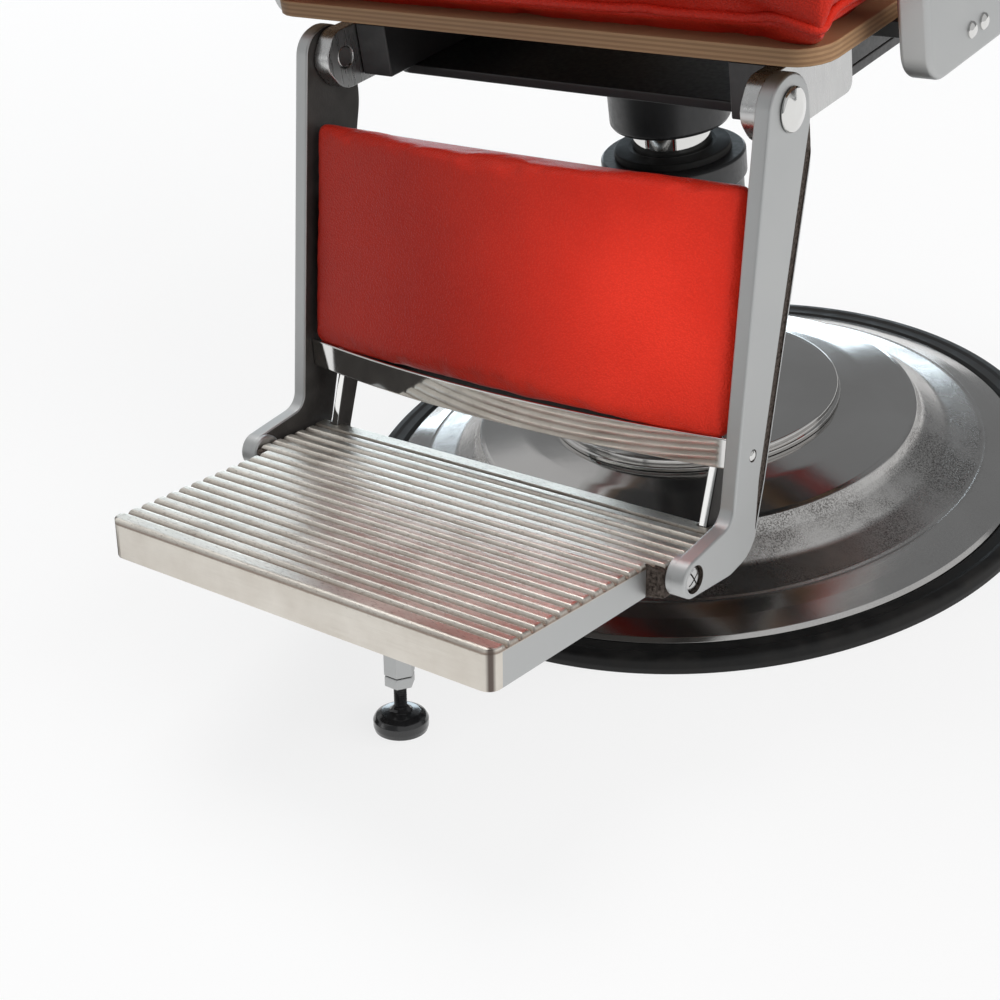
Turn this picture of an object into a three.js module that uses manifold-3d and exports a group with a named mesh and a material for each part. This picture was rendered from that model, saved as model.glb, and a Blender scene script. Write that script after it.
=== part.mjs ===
// Hydraulic barber chair, millimetres, +Z up. The origin is the centre of the round base on the
// floor, the chair faces -Y, and +X is on the right of someone who stands in front of it.
// Each physical piece is one closed mesh. Pieces that touch keep a clearance of GAP.

import * as THREE from 'three';
import * as BufferGeometryUtils from 'three/addons/utils/BufferGeometryUtils.js';
import Module from 'manifold-3d';

const wasm = await Module();
wasm.setup();

// ---- driving dimensions -------------------------------------------------------------------

const GAP = 0.3;

// Base: rubber tyre, one-piece casting, raised flange round the column.
const BASE = {
  tyreOuter: 300, tyreInner: 277, tyreHeight: 15,
  plateRadius: 276.6, plateTop: 5,
  creaseRadius: 243, creaseHeight: 27,
  rimRadius: 187, rimHeight: 60.6,
  flangeRadius: 123, flangeFoot: 71, flangeTop: 82,
};

// Pump: casing, chrome ram and foot lever. The lever points behind the chair.
const PUMP = {
  casingRadius: 55, casingTop: 296, bore: 32, boreFloor: 40,
  ramRadius: 31.5, ramFoot: 42, ramTop: 357, sealTop: 303,
  leverAngle: 150, pivotRadius: 84, pivotHeight: 122, leverReach: 322, bladeBottom: 88, bladeTop: 101,
};

// Seat frame: socket on the ram, top plate, two rails, two cross bars.
const SEAT = {
  socketFoot: 322, socketTop: 385, socketRadius: 46, plateHalf: 120,
  railInner: 150, railOuter: 178.7, railFront: -150, railRear: 372, railTop: 433.3, plateTop: 393,
  crossTop: 445.3, crossFrontY: -62, crossRearY: 212, crossWidth: 40,
  boardTop: 457.3, boardHalf: 236, boardFront: -182, boardRear: 222,
  cushionHalf: 250, cushionFront: -197, cushionRear: 225, cushionTop: 556,
};

// Arm castings and their pads.
const ARMREST = { inner: 262, thickness: 22, bottom: 420, top: 712, padTop: 746, padHalf: 26 };

// Backrest and headrest, in a frame at the recline pivot that leans back with the upholstery.
const BACK = {
  pivotY: 345, pivotZ: 470, lean: 14, strapInner: 160.5, strapOuter: 178.5, strapTop: 430,
  shellHalf: 243, shellBack: -5, shellFront: -19, bottom: 15, top: 522,
  cushionFront: -120, cushionHalf: 240,
};
const HEAD = { tiltY: 4, tiltZ: 617, half: 132, bottom: 558, top: 684, front: -112, boardFront: -34 };

// Leg rest, in a frame at its pivot whose Z runs up along the two arms.
// Each arm has a thicker round end, the boss, that reaches inwards to the foot plate.
const LEG = { pivotY: -166, pivotZ: 412, slope: 0.29, bossInner: 189.9, armInner: 193.6, armOuter: 205.6 };
const CALF = {
  half: 192.5, edgeY: -20, bulge: 26, back: -5, bottom: -218.5, top: -48, stripBottom: -242, stripLean: 9,
};

// Foot plate, in a frame at its first rib: Y runs to the heel, Z is square to the tread.
const FOOT = {
  firstRibY: -481.5, firstRibZ: 184, tilt: 11.3, ribs: 18, ribPitch: 12.46, ribHeight: 3.2,
  frontHalf: 172, waistHalf: 177, rearHalf: 188, front: -10, waist: 152, shoulder: 156, rear: 232, lug: 22,
  frontDepth: 30, rearDepth: 23, skin: 9, wall: 9,
};
const STEP_PIVOT = { y: -320, z: 142, boss: 14 };
const STEP_SCREW = { head: 9.6, recess: 10, depth: 5, shank: 4.5, bore: 4.8, inner: 181 };
const BRACE = {
  inner: 170, outer: 177, slope: 0.53, lineY: -256.3, lineZ: 144.3, width: 16, top: 252, foot: 130,
};
const LEVELLER = {
  along: 100, seatRadius: 16, hexFlats: 20.4, hexEnd: -116.5, nutEnd: -125.5,
  discTop: -145, discEnd: -162.5, discRadius: 20.5, stem: 4.8, stemTop: -60,
};

// ---- finishes -------------------------------------------------------------------------------

const finish = (color, roughness, metalness) => () =>
  new THREE.MeshStandardMaterial({ color, roughness, metalness });
const castAluminium = finish(0xb9bbb8, 0.42, 1);
const polished = finish(0xc9c8c4, 0.12, 1);
const brushed = finish(0xa7a6a2, 0.3, 1);
const steel = finish(0x8f9092, 0.38, 1);
const blackPaint = finish(0x1b1b1c, 0.5, 0);
const rubber = finish(0x17171a, 0.6, 0);
const leather = finish(0xc01f14, 0.45, 0);
const plywood = finish(0x9c7a4f, 0.7, 0);

// ---- geometry helpers -------------------------------------------------------------------------

// A closed geometry as a solid that can be cut and joined.
function toSolid(geometry) {
  const source = geometry.index ? geometry.toNonIndexed() : geometry.clone();
  for (const name of Object.keys(source.attributes)) {
    if (name !== 'position') source.deleteAttribute(name);
  }
  source.morphAttributes = {};
  const merged = BufferGeometryUtils.mergeVertices(source, 1e-4);
  return new wasm.Manifold(new wasm.Mesh({
    numProp: 3,
    vertProperties: new Float32Array(merged.attributes.position.array),
    triVerts: new Uint32Array(merged.index.array),
  }));
}

function fromSolid(solid) {
  const mesh = solid.getMesh();
  const geometry = new THREE.BufferGeometry();
  geometry.setAttribute('position', new THREE.BufferAttribute(new Float32Array(mesh.vertProperties), 3));
  geometry.setIndex(new THREE.BufferAttribute(new Uint32Array(mesh.triVerts), 1));
  return geometry;
}

function cut(body, ...tools) {
  return fromSolid(tools.reduce((solid, tool) => solid.subtract(toSolid(tool)), toSolid(body)));
}

function join(body, ...others) {
  return fromSolid(others.reduce((solid, other) => solid.add(toSolid(other)), toSolid(body)));
}

function block(x0, x1, y0, y1, z0, z1) {
  const geometry = new THREE.BoxGeometry(x1 - x0, y1 - y0, z1 - z0);
  return geometry.translate((x0 + x1) / 2, (y0 + y1) / 2, (z0 + z1) / 2);
}

// A turned part: profile of [radius, height] pairs, closed on the axis or on itself.
function turned(profile, sides = 40) {
  const points = profile.map(([r, z]) => new THREE.Vector2(r, z));
  if (profile[0][0] > 0) points.push(points[0].clone());
  return new THREE.LatheGeometry(points, sides).rotateX(Math.PI / 2);
}

function rod(radius, z0, z1, sides = 20) {
  return new THREE.CylinderGeometry(radius, radius, z1 - z0, sides).rotateX(Math.PI / 2)
    .translate(0, 0, (z0 + z1) / 2);
}

// A round bar along X through (y, z).
function barX(radius, x0, x1, y, z, sides = 20) {
  return new THREE.CylinderGeometry(radius, radius, x1 - x0, sides).rotateZ(Math.PI / 2)
    .translate((x0 + x1) / 2, y, z);
}

// An outline in the plan view (X, Y), raised from z0 to z1.
function raised(shape, z0, z1, arcSteps = 6) {
  return new THREE.ExtrudeGeometry(shape, { depth: z1 - z0, bevelEnabled: false, curveSegments: arcSteps })
    .translate(0, 0, z0);
}

// An outline in the side view (Y, Z), extruded from x0 to x1.
function sideways(shape, x0, x1, arcSteps = 6) {
  const geometry = new THREE.ExtrudeGeometry(shape, {
    depth: x1 - x0, bevelEnabled: false, curveSegments: arcSteps,
  });
  const swap = new THREE.Matrix4().set(0, 0, 1, x0, 1, 0, 0, 0, 0, 1, 0, 0, 0, 0, 0, 1);
  return geometry.applyMatrix4(swap);
}

// A closed outline through corners of [x, y, radius], each rounded by its radius.
function rounded(corners, steps = 5) {
  const points = [];
  corners.forEach(([x, y, radius = 0], i) => {
    const corner = new THREE.Vector2(x, y);
    const before = new THREE.Vector2(...corners[(i + corners.length - 1) % corners.length]);
    const after = new THREE.Vector2(...corners[(i + 1) % corners.length]);
    const a = before.sub(corner).normalize();
    const b = after.sub(corner).normalize();
    if (radius === 0) {
      points.push(corner);
      return;
    }
    const half = Math.acos(THREE.MathUtils.clamp(a.dot(b), -1, 1)) / 2;
    const reach = radius / Math.tan(half);
    const centre = a.clone().add(b).normalize().multiplyScalar(radius / Math.sin(half)).add(corner);
    const start = a.clone().multiplyScalar(reach).add(corner).sub(centre);
    const end = b.clone().multiplyScalar(reach).add(corner).sub(centre);
    let sweep = end.angle() - start.angle();
    if (sweep > Math.PI) sweep -= 2 * Math.PI;
    if (sweep < -Math.PI) sweep += 2 * Math.PI;
    for (let k = 0; k <= steps; k += 1) {
      const point = start.clone().rotateAround(new THREE.Vector2(), (sweep * k) / steps);
      points.push(point.add(centre));
    }
  });
  return new THREE.Shape(points);
}

function rectangle(x0, x1, y0, y1, radius) {
  return rounded([[x0, y0, radius], [x1, y0, radius], [x1, y1, radius], [x0, y1, radius]]);
}

function piece(parent, name, geometry, material) {
  const clean = geometry.index ? geometry.toNonIndexed() : geometry;
  clean.deleteAttribute('normal');
  clean.computeVertexNormals();
  const mesh = new THREE.Mesh(clean, material());
  mesh.name = name;
  parent.add(mesh);
  return mesh;
}

const SIDES = [['left', -1], ['right', 1]];

// A geometry for the right side, mirrored for the left.
function onSide(geometry, side) {
  if (side > 0) return geometry;
  const solid = toSolid(geometry).mirror([1, 0, 0]);
  return fromSolid(solid);
}

// ---- base and pump ----------------------------------------------------------------------------

function addBase(chair) {
  const { tyreOuter: outer, tyreInner: inner, tyreHeight: height } = BASE;
  piece(chair, 'base_tyre', turned([
    [inner, 0], [outer - 4, 0], [outer, 4], [outer, 9], [outer - 4, height - 1.5],
    [outer - 11, height], [inner + 4, height - 1], [inner, height - 4],
  ], 56), rubber);
  const { plateRadius, plateTop } = BASE;
  const plate = turned([[0, 0], [plateRadius, 0], [plateRadius, plateTop], [0, plateTop]], 56);
  piece(chair, 'base_plate', plate, steel);
  const hole = PUMP.casingRadius + 0.4;
  const foot = plateTop + GAP;
  const rim = BASE.rimRadius;
  piece(chair, 'base_casting', turned([
    [hole, foot], [plateRadius, foot], [plateRadius, 11], [270, 17], [258, 22.5],
    [BASE.creaseRadius + 1, BASE.creaseHeight], [BASE.creaseRadius - 3, BASE.creaseHeight + 0.5],
    [225, 31], [211, 36.5], [200, 43.5], [rim + 5, 51], [rim + 1, 57], [rim - 2, BASE.rimHeight],
    [rim - 8, BASE.rimHeight + 1.6], [150, 67.4], [BASE.flangeRadius + 1, BASE.flangeFoot - GAP],
    [hole, BASE.flangeFoot - GAP],
  ], 56), brushed);
  const flange = BASE.flangeRadius;
  piece(chair, 'column_flange', turned([
    [hole, BASE.flangeFoot], [flange + 2, BASE.flangeFoot], [flange + 2, 74.5], [flange - 1, 76],
    [flange - 1, 78], [flange, 79.5], [flange - 1.5, BASE.flangeTop], [hole, BASE.flangeTop],
  ], 56), polished);
}

function addPump(chair) {
  const r = PUMP.casingRadius;
  const top = PUMP.casingTop;
  piece(chair, 'pump_casing', turned([
    [0, BASE.plateTop + GAP], [r, BASE.plateTop + GAP], [r, BASE.flangeTop + GAP],
    [r + 8, BASE.flangeTop + GAP], [r + 8, 91], [r, 96], [r, top - 22], [r + 3, top - 20],
    [r + 3, top - 2], [r + 1, top], [PUMP.bore, top], [PUMP.bore, PUMP.boreFloor], [0, PUMP.boreFloor],
  ], 36), blackPaint);
  piece(chair, 'ram_seal', turned([
    [PUMP.bore - 0.2, top + GAP], [r - 8, top + GAP], [r - 8, PUMP.sealTop - 2], [r - 11, PUMP.sealTop],
    [PUMP.bore - 0.2, PUMP.sealTop],
  ], 32), rubber);
  piece(chair, 'ram', turned([
    [0, PUMP.ramFoot], [PUMP.ramRadius, PUMP.ramFoot], [PUMP.ramRadius, PUMP.ramTop - 2],
    [PUMP.ramRadius - 2, PUMP.ramTop], [0, PUMP.ramTop],
  ], 32), polished);

  // The valve block and the lever share a frame whose +X points along the lever.
  const side = new THREE.Group();
  side.rotation.z = THREE.MathUtils.degToRad(PUMP.leverAngle);
  chair.add(side);
  const body = block(r - 3, r + 42, -26, 26, 97, 150);
  const fork = block(r + 12, r + 50, -10.5, 10.5, 90, 160);
  const h = PUMP.pivotHeight;
  const x = PUMP.pivotRadius;
  const pinHole = new THREE.CylinderGeometry(6.2, 6.2, 70, 16).translate(x, 0, h);
  piece(side, 'valve_block', cut(body, rod(r + 0.4, 80, 170, 36), fork, pinHole), steel);
  piece(side, 'lever_pin', new THREE.CylinderGeometry(6, 6, 60, 16).translate(x, 0, h), steel);
  const lever = new THREE.Shape();
  lever.absarc(x, h, 14, Math.PI * 0.5, Math.PI * 1.5, false);
  lever.lineTo(x + 40, h - 14);
  const { leverReach: reach, bladeBottom, bladeTop } = PUMP;
  lever.quadraticCurveTo(200, bladeBottom + 4, reach - 54, bladeBottom);
  lever.lineTo(reach, bladeBottom);
  lever.lineTo(reach, bladeTop);
  lever.lineTo(reach - 54, bladeTop);
  lever.quadraticCurveTo(200, bladeTop + 8, x + 60, h + 8);
  lever.lineTo(x + 30, h + 14);
  const blade = new THREE.ExtrudeGeometry(lever, { depth: 20, bevelEnabled: false, curveSegments: 8 })
    .rotateX(Math.PI / 2).translate(0, 10, 0);
  piece(side, 'pump_lever', cut(blade, pinHole), polished);
  const pedalFront = reach + 2;
  const pedal = raised(rectangle(pedalFront - 52, pedalFront, -22, 22, 8), bladeBottom - 5, bladeTop + 6, 3);
  const socket = block(reach - 70, reach + GAP, -10.3, 10.3, bladeBottom - GAP, bladeTop + GAP);
  piece(side, 'pump_pedal', cut(pedal, socket), rubber);
}

// ---- seat ------------------------------------------------------------------------------------

function addSeatFrame(chair) {
  const bore = PUMP.ramRadius + 0.4;
  const { socketFoot, socketTop, socketRadius } = SEAT;
  piece(chair, 'seat_socket', turned([
    [bore, socketFoot], [socketRadius, socketFoot], [socketRadius + 2, socketFoot + 4],
    [socketRadius + 2, socketTop - 24], [socketRadius + 24, socketTop],
    [0, socketTop], [0, PUMP.ramTop + 0.4], [bore, PUMP.ramTop + 0.4],
  ], 32), blackPaint);
  const half = SEAT.plateHalf;
  const plate = rectangle(-SEAT.railOuter, SEAT.railOuter, -half, half, 20);
  piece(chair, 'seat_top_plate', raised(plate, socketTop + GAP, SEAT.plateTop, 3), blackPaint);
  const { railInner, railOuter, railFront, railRear, railTop } = SEAT;
  for (const [name, side] of SIDES) {
    const rail = block(railInner, railOuter, railFront, railRear, SEAT.plateTop + GAP, railTop);
    piece(chair, `seat_rail_${name}`, onSide(rail, side), blackPaint);
  }
  const crossBars = [['front', SEAT.crossFrontY], ['rear', SEAT.crossRearY]];
  for (const [name, y] of crossBars) {
    const reach = ARMREST.inner - GAP;
    const w = SEAT.crossWidth / 2;
    const bar = block(-reach, reach, y - w, y + w, SEAT.railTop + GAP, SEAT.crossTop);
    piece(chair, `cross_bar_${name}`, bar, blackPaint);
  }
  const board = rectangle(-SEAT.boardHalf, SEAT.boardHalf, SEAT.boardFront, SEAT.boardRear, 24);
  piece(chair, 'seat_board', raised(board, SEAT.crossTop + GAP, SEAT.boardTop, 3), plywood);
  const outline = rounded([
    [SEAT.cushionFront, SEAT.boardTop + GAP, 10], [SEAT.cushionRear, SEAT.boardTop + GAP, 8],
    [SEAT.cushionRear, SEAT.cushionTop - 12, 14], [-60, SEAT.cushionTop, 90],
    [SEAT.cushionFront, SEAT.cushionTop - 6, 38],
  ]);
  piece(chair, 'seat_cushion', sideways(outline, -SEAT.cushionHalf, SEAT.cushionHalf), leather);
}

// One arm casting: a closed frame with its front post, rear post and top rail.
function addArmrests(chair) {
  for (const [name, side] of SIDES) {
    const { inner, thickness, bottom, top } = ARMREST;
    const outline = rounded([
      [-128, bottom, 22], [250, bottom, 22], [262, 470, 60], [262, top - 4, 20], [-158, top - 4, 22],
      [-150, top - 40, 20], [-108, top - 62, 60], [-138, 520, 90],
    ]);
    const opening = rounded([
      [-96, bottom + 42, 18], [214, bottom + 42, 22], [228, 520, 60], [228, top - 32, 24],
      [-70, top - 32, 30], [-84, 560, 90],
    ]);
    const body = sideways(outline, inner, inner + thickness);
    const window = sideways(opening, inner - 5, inner + thickness + 5);
    piece(chair, `arm_casting_${name}`, onSide(cut(body, window), side), castAluminium);
    const middle = inner + thickness / 2;
    const pad = rectangle(middle - ARMREST.padHalf, middle + ARMREST.padHalf, -160, 258, 24);
    piece(chair, `arm_pad_${name}`, onSide(raised(pad, top - 4 + GAP, ARMREST.padTop, 4), side), leather);
  }
}

function addReclineLever(chair) {
  const x = ARMREST.inner + ARMREST.thickness + GAP;
  const y = 70;
  const z = ARMREST.bottom + 21;
  const lever = new THREE.Shape([
    new THREE.Vector2(y - 11, z), new THREE.Vector2(y + 11, z),
    new THREE.Vector2(y - 20, z + 128), new THREE.Vector2(y - 32, z + 128),
  ]);
  const hub = barX(17, x, x + 12, y, z, 20);
  piece(chair, 'recline_lever', join(hub, sideways(lever, x + 2, x + 10)), polished);
  const knob = new THREE.SphereGeometry(16, 16, 10).translate(x + 6, y - 26, z + 142);
  const mouth = block(x + 1.7, x + 10.3, y - 60, y + 10, z + 100, z + 128.3);
  piece(chair, 'recline_knob', cut(knob, mouth), rubber);
}

// ---- back and headrest -------------------------------------------------------------------------

function addBack(chair) {
  const back = new THREE.Group();
  back.position.set(0, BACK.pivotY, BACK.pivotZ);
  back.rotation.x = -THREE.MathUtils.degToRad(BACK.lean);
  chair.add(back);
  for (const [name, side] of SIDES) {
    // Hinge plate standing on the rail, its pin and the strap beside it.
    const plate = new THREE.Shape();
    plate.moveTo(BACK.pivotY - 34, SEAT.railTop + GAP);
    plate.lineTo(BACK.pivotY + 26, SEAT.railTop + GAP);
    plate.lineTo(BACK.pivotY + 20, BACK.pivotZ);
    plate.absarc(BACK.pivotY, BACK.pivotZ, 20, 0, Math.PI, false);
    const plateInner = SEAT.railInner;
    const hinge = sideways(plate, plateInner, BACK.strapInner - 0.5);
    const bore = barX(8.3, plateInner - 5, BACK.strapOuter + 5, BACK.pivotY, BACK.pivotZ);
    piece(chair, `back_hinge_${name}`, onSide(cut(hinge, bore), side), blackPaint);
    const pin = barX(8, plateInner - 4, BACK.strapOuter + 4, BACK.pivotY, BACK.pivotZ);
    piece(chair, `back_pin_${name}`, onSide(pin, side), steel);
    const strap = new THREE.Shape();
    strap.absarc(0, 0, 17, Math.PI, 2 * Math.PI, false);
    strap.lineTo(8, 60);
    strap.lineTo(8, BACK.strapTop);
    strap.lineTo(BACK.shellBack + GAP, BACK.strapTop);
    strap.lineTo(BACK.shellBack + GAP, 40);
    strap.lineTo(-17, 12);
    const bar = sideways(strap, BACK.strapInner, BACK.strapOuter);
    piece(back, `back_strap_${name}`, onSide(cut(bar, barX(8.3, 140, 200, 0, 0)), side), steel);
  }
  const panel = rectangle(-BACK.shellHalf, BACK.shellHalf, 42, BACK.top, 50);
  const toPanel = new THREE.Matrix4().set(1, 0, 0, 0, 0, 0, 1, 0, 0, 1, 0, 0, 0, 0, 0, 1);
  const upright = (shape, y0, y1) => {
    const geometry = new THREE.ExtrudeGeometry(shape, { depth: y1 - y0, bevelEnabled: false });
    return toSolid(geometry.translate(0, 0, y0)).transform(toPanel.toArray());
  };
  piece(back, 'back_shell', fromSolid(upright(panel, BACK.shellFront, BACK.shellBack)), blackPaint);
  const pad = rectangle(-BACK.cushionHalf, BACK.cushionHalf, BACK.bottom, BACK.top, 46);
  const padSide = rounded([
    [BACK.shellFront - GAP, BACK.bottom, 8], [BACK.shellFront - GAP, BACK.top, 14], [-96, BACK.top, 30],
    [BACK.cushionFront, 400, 120], [BACK.cushionFront, 120, 120], [-98, BACK.bottom, 30],
  ]);
  const cushion = upright(pad, BACK.cushionFront - 10, BACK.shellFront - GAP)
    .intersect(toSolid(sideways(padSide, -BACK.cushionHalf - 10, BACK.cushionHalf + 10)));
  piece(back, 'back_cushion', fromSolid(cushion), leather);

  // Headrest: guide on the shell, sliding post, tilting yoke and pillow.
  const guide = block(-36, 36, BACK.shellBack + GAP, 16, 400, 500);
  piece(back, 'headrest_guide', cut(guide, block(-18.6, 18.6, -0.6, 8.6, 390, 510)), steel);
  const post = join(block(-18, 18, 0, 8, 330, HEAD.tiltZ - 10), barX(12, -18, 18, HEAD.tiltY, HEAD.tiltZ));
  piece(back, 'headrest_post', cut(post, barX(5.3, -30, 30, HEAD.tiltY, HEAD.tiltZ)), polished);
  piece(back, 'headrest_pin', barX(5, -30, 30, HEAD.tiltY, HEAD.tiltZ, 16), steel);
  const ear = new THREE.Shape();
  ear.moveTo(-30, HEAD.tiltZ - 22);
  ear.lineTo(HEAD.tiltY, HEAD.tiltZ - 12);
  ear.absarc(HEAD.tiltY, HEAD.tiltZ, 12, -Math.PI / 2, Math.PI / 2, false);
  ear.lineTo(-30, HEAD.tiltZ + 22);
  const boardOutline = rectangle(-HEAD.half + 14, HEAD.half - 14, HEAD.bottom + 8, HEAD.top - 8, 20);
  const board = upright(boardOutline, HEAD.boardFront, HEAD.boardFront + 9);
  const ears = toSolid(sideways(ear, 18.4, 26)).add(toSolid(onSide(sideways(ear, 18.4, 26), -1)));
  const yokeBore = toSolid(barX(5.3, -40, 40, HEAD.tiltY, HEAD.tiltZ));
  piece(back, 'headrest_yoke', fromSolid(board.add(ears).subtract(yokeBore)), blackPaint);
  const pillow = rectangle(-HEAD.half, HEAD.half, HEAD.bottom, HEAD.top, 30);
  piece(back, 'headrest_cushion', fromSolid(upright(pillow, HEAD.front, HEAD.boardFront - GAP)), leather);
}

// ---- leg rest ----------------------------------------------------------------------------------

// Front and rear edges of the leg arms, as Y at a height Z.
const armFront = (z) => -258 + LEG.slope * (z - 193.7);
const armRear = (z) => -212 + 0.4 * (z - 197);

// Middle line of the braces, as Y at a height Z, and the tube that ties their heads to the arms.
const braceMiddle = (z) => BRACE.lineY + BRACE.slope * (z - BRACE.lineZ) + 9.1;
const tie = { y: braceMiddle(BRACE.top), z: BRACE.top };

// Side view of an arm: down the shin, forward along the limb, and round the boss at its end.
function legArmOutline() {
  const { y, z, boss } = STEP_PIVOT;
  const limbTop = z + boss;
  const shoulder = LEG.pivotZ + 20;
  return rounded([
    [y - boss, limbTop, boss - 0.1], [armFront(limbTop), limbTop, 14], [armFront(shoulder), shoulder, 22],
    [LEG.pivotY + 24, LEG.pivotZ + 30, 26], [armRear(LEG.pivotZ - 40), LEG.pivotZ - 40, 60],
    [armRear(165), 165, 60], [-246, 119, 26], [-277, 118, 30], [y - boss, z - boss * 0.77, boss - 0.4],
  ]);
}

function addLegRest(chair) {
  const { pivotY, pivotZ, bossInner, armInner, armOuter } = LEG;
  const { y, z, boss } = STEP_PIVOT;
  for (const [name, side] of SIDES) {
    const bracket = rounded([
      [-60, SEAT.railTop - 2, 4], [-60, SEAT.plateTop - 6, 8], [pivotY - 8, pivotZ - 24, 20],
      [pivotY - 24, pivotZ, 16], [pivotY - 8, pivotZ + 22, 16],
    ]);
    const pinHole = barX(8.3, 170, 230, pivotY, pivotZ);
    const hinge = sideways(bracket, SEAT.railOuter + GAP, armInner - 0.6);
    piece(chair, `leg_hinge_${name}`, onSide(cut(hinge, pinHole), side), steel);
    const pin = join(barX(8, SEAT.railOuter + 1, armOuter + 1, pivotY, pivotZ),
      barX(15, armOuter + GAP, armOuter + 5, pivotY, pivotZ));
    piece(chair, `leg_hinge_pin_${name}`, onSide(pin, side), polished);
    const limb = sideways(legArmOutline(), armInner, armOuter);
    const end = barX(boss - 0.2, bossInner, armInner + 1, y, z, 28);
    const recess = barX(STEP_SCREW.recess, armOuter - STEP_SCREW.depth, armOuter + 5, y, z);
    const shankHole = barX(STEP_SCREW.bore, 180, armOuter + 5, y, z);
    const tieHole = barX(7.4, armInner - 5, armInner + 3.8, tie.y, tie.z);
    const arm = cut(join(limb, end), pinHole, recess, shankHole, tieHole);
    piece(chair, `leg_arm_${name}`, onSide(arm, side), castAluminium);
    const screw = join(barX(STEP_SCREW.head, armOuter - STEP_SCREW.depth + GAP, armOuter - 0.6, y, z),
      barX(STEP_SCREW.shank, STEP_SCREW.inner, armOuter - 4, y, z));
    piece(chair, `step_screw_${name}`, onSide(screw, side), polished);
  }
  piece(chair, 'leg_tie_tube', barX(7, -armInner - 3.4, armInner + 3.4, tie.y, tie.z, 20), steel);
}

function addBraces(chair) {
  for (const [name, side] of SIDES) {
    const lean = Math.atan(BRACE.slope);
    const along = new THREE.Vector2(Math.sin(lean), Math.cos(lean));
    const foot = new THREE.Vector2(braceMiddle(BRACE.foot), BRACE.foot);
    const head = new THREE.Vector2(tie.y, tie.z);
    const half = BRACE.width / 2;
    const across = new THREE.Vector2(along.y, -along.x).multiplyScalar(half);
    const bar = new THREE.Shape();
    const turn = across.angle();
    bar.absarc(head.x, head.y, half + 2, turn, turn + Math.PI, false);
    bar.absarc(foot.x, foot.y, half, turn + Math.PI, turn + 2 * Math.PI, false);
    const tieHole = barX(7.3, 160, 190, tie.y, tie.z);
    const link = cut(sideways(bar, BRACE.inner, BRACE.outer, 8), tieHole);
    piece(chair, `step_brace_${name}`, onSide(link, side), steel);
  }
}

// Front line of the calf pad and strip in plan: set back at the ends, fullest in the middle.
function bowed(half, edge, bulge, back, steps = 12) {
  const points = [];
  for (let k = 0; k <= steps; k += 1) {
    const x = -half + (2 * half * k) / steps;
    points.push(new THREE.Vector2(x, edge - bulge * (1 - (x / half) ** 2)));
  }
  for (let k = steps; k >= 0; k -= 1) {
    const x = -half + (2 * half * k) / steps;
    const y = back(x, edge - bulge * (1 - (x / half) ** 2));
    points.push(new THREE.Vector2(x, y));
  }
  return new THREE.Shape(points);
}

function addCalfPad(chair) {
  const leg = new THREE.Group();
  leg.position.set(0, LEG.pivotY, LEG.pivotZ);
  leg.rotation.x = -Math.atan(LEG.slope);
  chair.add(leg);
  const flat = new THREE.Shape([
    new THREE.Vector2(-CALF.half, CALF.back), new THREE.Vector2(CALF.half, CALF.back),
    ...Array.from({ length: 13 }, (_, k) => {
      const x = CALF.half - (2 * CALF.half * k) / 12;
      return new THREE.Vector2(x, CALF.edgeY - CALF.bulge * (1 - (x / CALF.half) ** 2));
    }),
  ]);
  piece(leg, 'calf_pad', raised(flat, CALF.bottom, CALF.top), leather);
  // The strip and its blocks lean back below the pad.
  const lean = Math.tan(THREE.MathUtils.degToRad(CALF.stripLean));
  const stripTop = CALF.bottom - 1;
  const leaning = (geometry) => geometry
    .applyMatrix4(new THREE.Matrix4().set(1, 0, 0, 0, 0, 1, -lean, lean * stripTop, 0, 0, 1, 0, 0, 0, 0, 1));
  const strip = bowed(193, CALF.edgeY + 0.5, CALF.bulge - 2, (x, front) => front + 3);
  piece(leg, 'calf_strip', leaning(raised(strip, CALF.stripBottom, stripTop)), polished);
  const boardFront = CALF.back + GAP;
  const boardBack = boardFront + 3;
  const board = join(block(-188, 188, boardFront, boardBack, -195, CALF.top - 6),
    block(-158, 158, boardFront, boardBack, CALF.stripBottom + 2, -190));
  piece(leg, 'calf_board', board, blackPaint);
  for (const [name, side] of SIDES) {
    const standoff = leaning(block(118, 142, -27.1, CALF.back, CALF.stripBottom + 3, stripTop - 0.5));
    const behind = block(110, 150, CALF.back, CALF.back + 20, -260, -200);
    piece(leg, `strip_block_${name}`, onSide(cut(standoff, behind), side), blackPaint);
    const ear = join(block(180, 191, boardBack + GAP, boardBack + 4.7, -150, -110),
      block(187, LEG.armInner - GAP, boardBack + GAP, 16, -150, -110));
    piece(leg, `calf_bracket_${name}`, onSide(ear, side), steel);
  }
}

// ---- foot plate ----------------------------------------------------------------------------------

function treadProfile() {
  const points = [new THREE.Vector2(FOOT.front, -FOOT.frontDepth), new THREE.Vector2(FOOT.front, -2)];
  points.push(new THREE.Vector2(FOOT.front + 2, 0));
  const h = FOOT.ribHeight;
  for (let k = 0; k < FOOT.ribs; k += 1) {
    const v = k * FOOT.ribPitch;
    const next = v + FOOT.ribPitch;
    points.push(new THREE.Vector2(v + 1.6, 0), new THREE.Vector2(v + 3.6, -h));
    points.push(new THREE.Vector2(next - 4.4, -h), new THREE.Vector2(next - 2.2, 0));
  }
  points.push(new THREE.Vector2(FOOT.rear, 0), new THREE.Vector2(FOOT.rear, -FOOT.rearDepth));
  return new THREE.Shape(points);
}

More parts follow.
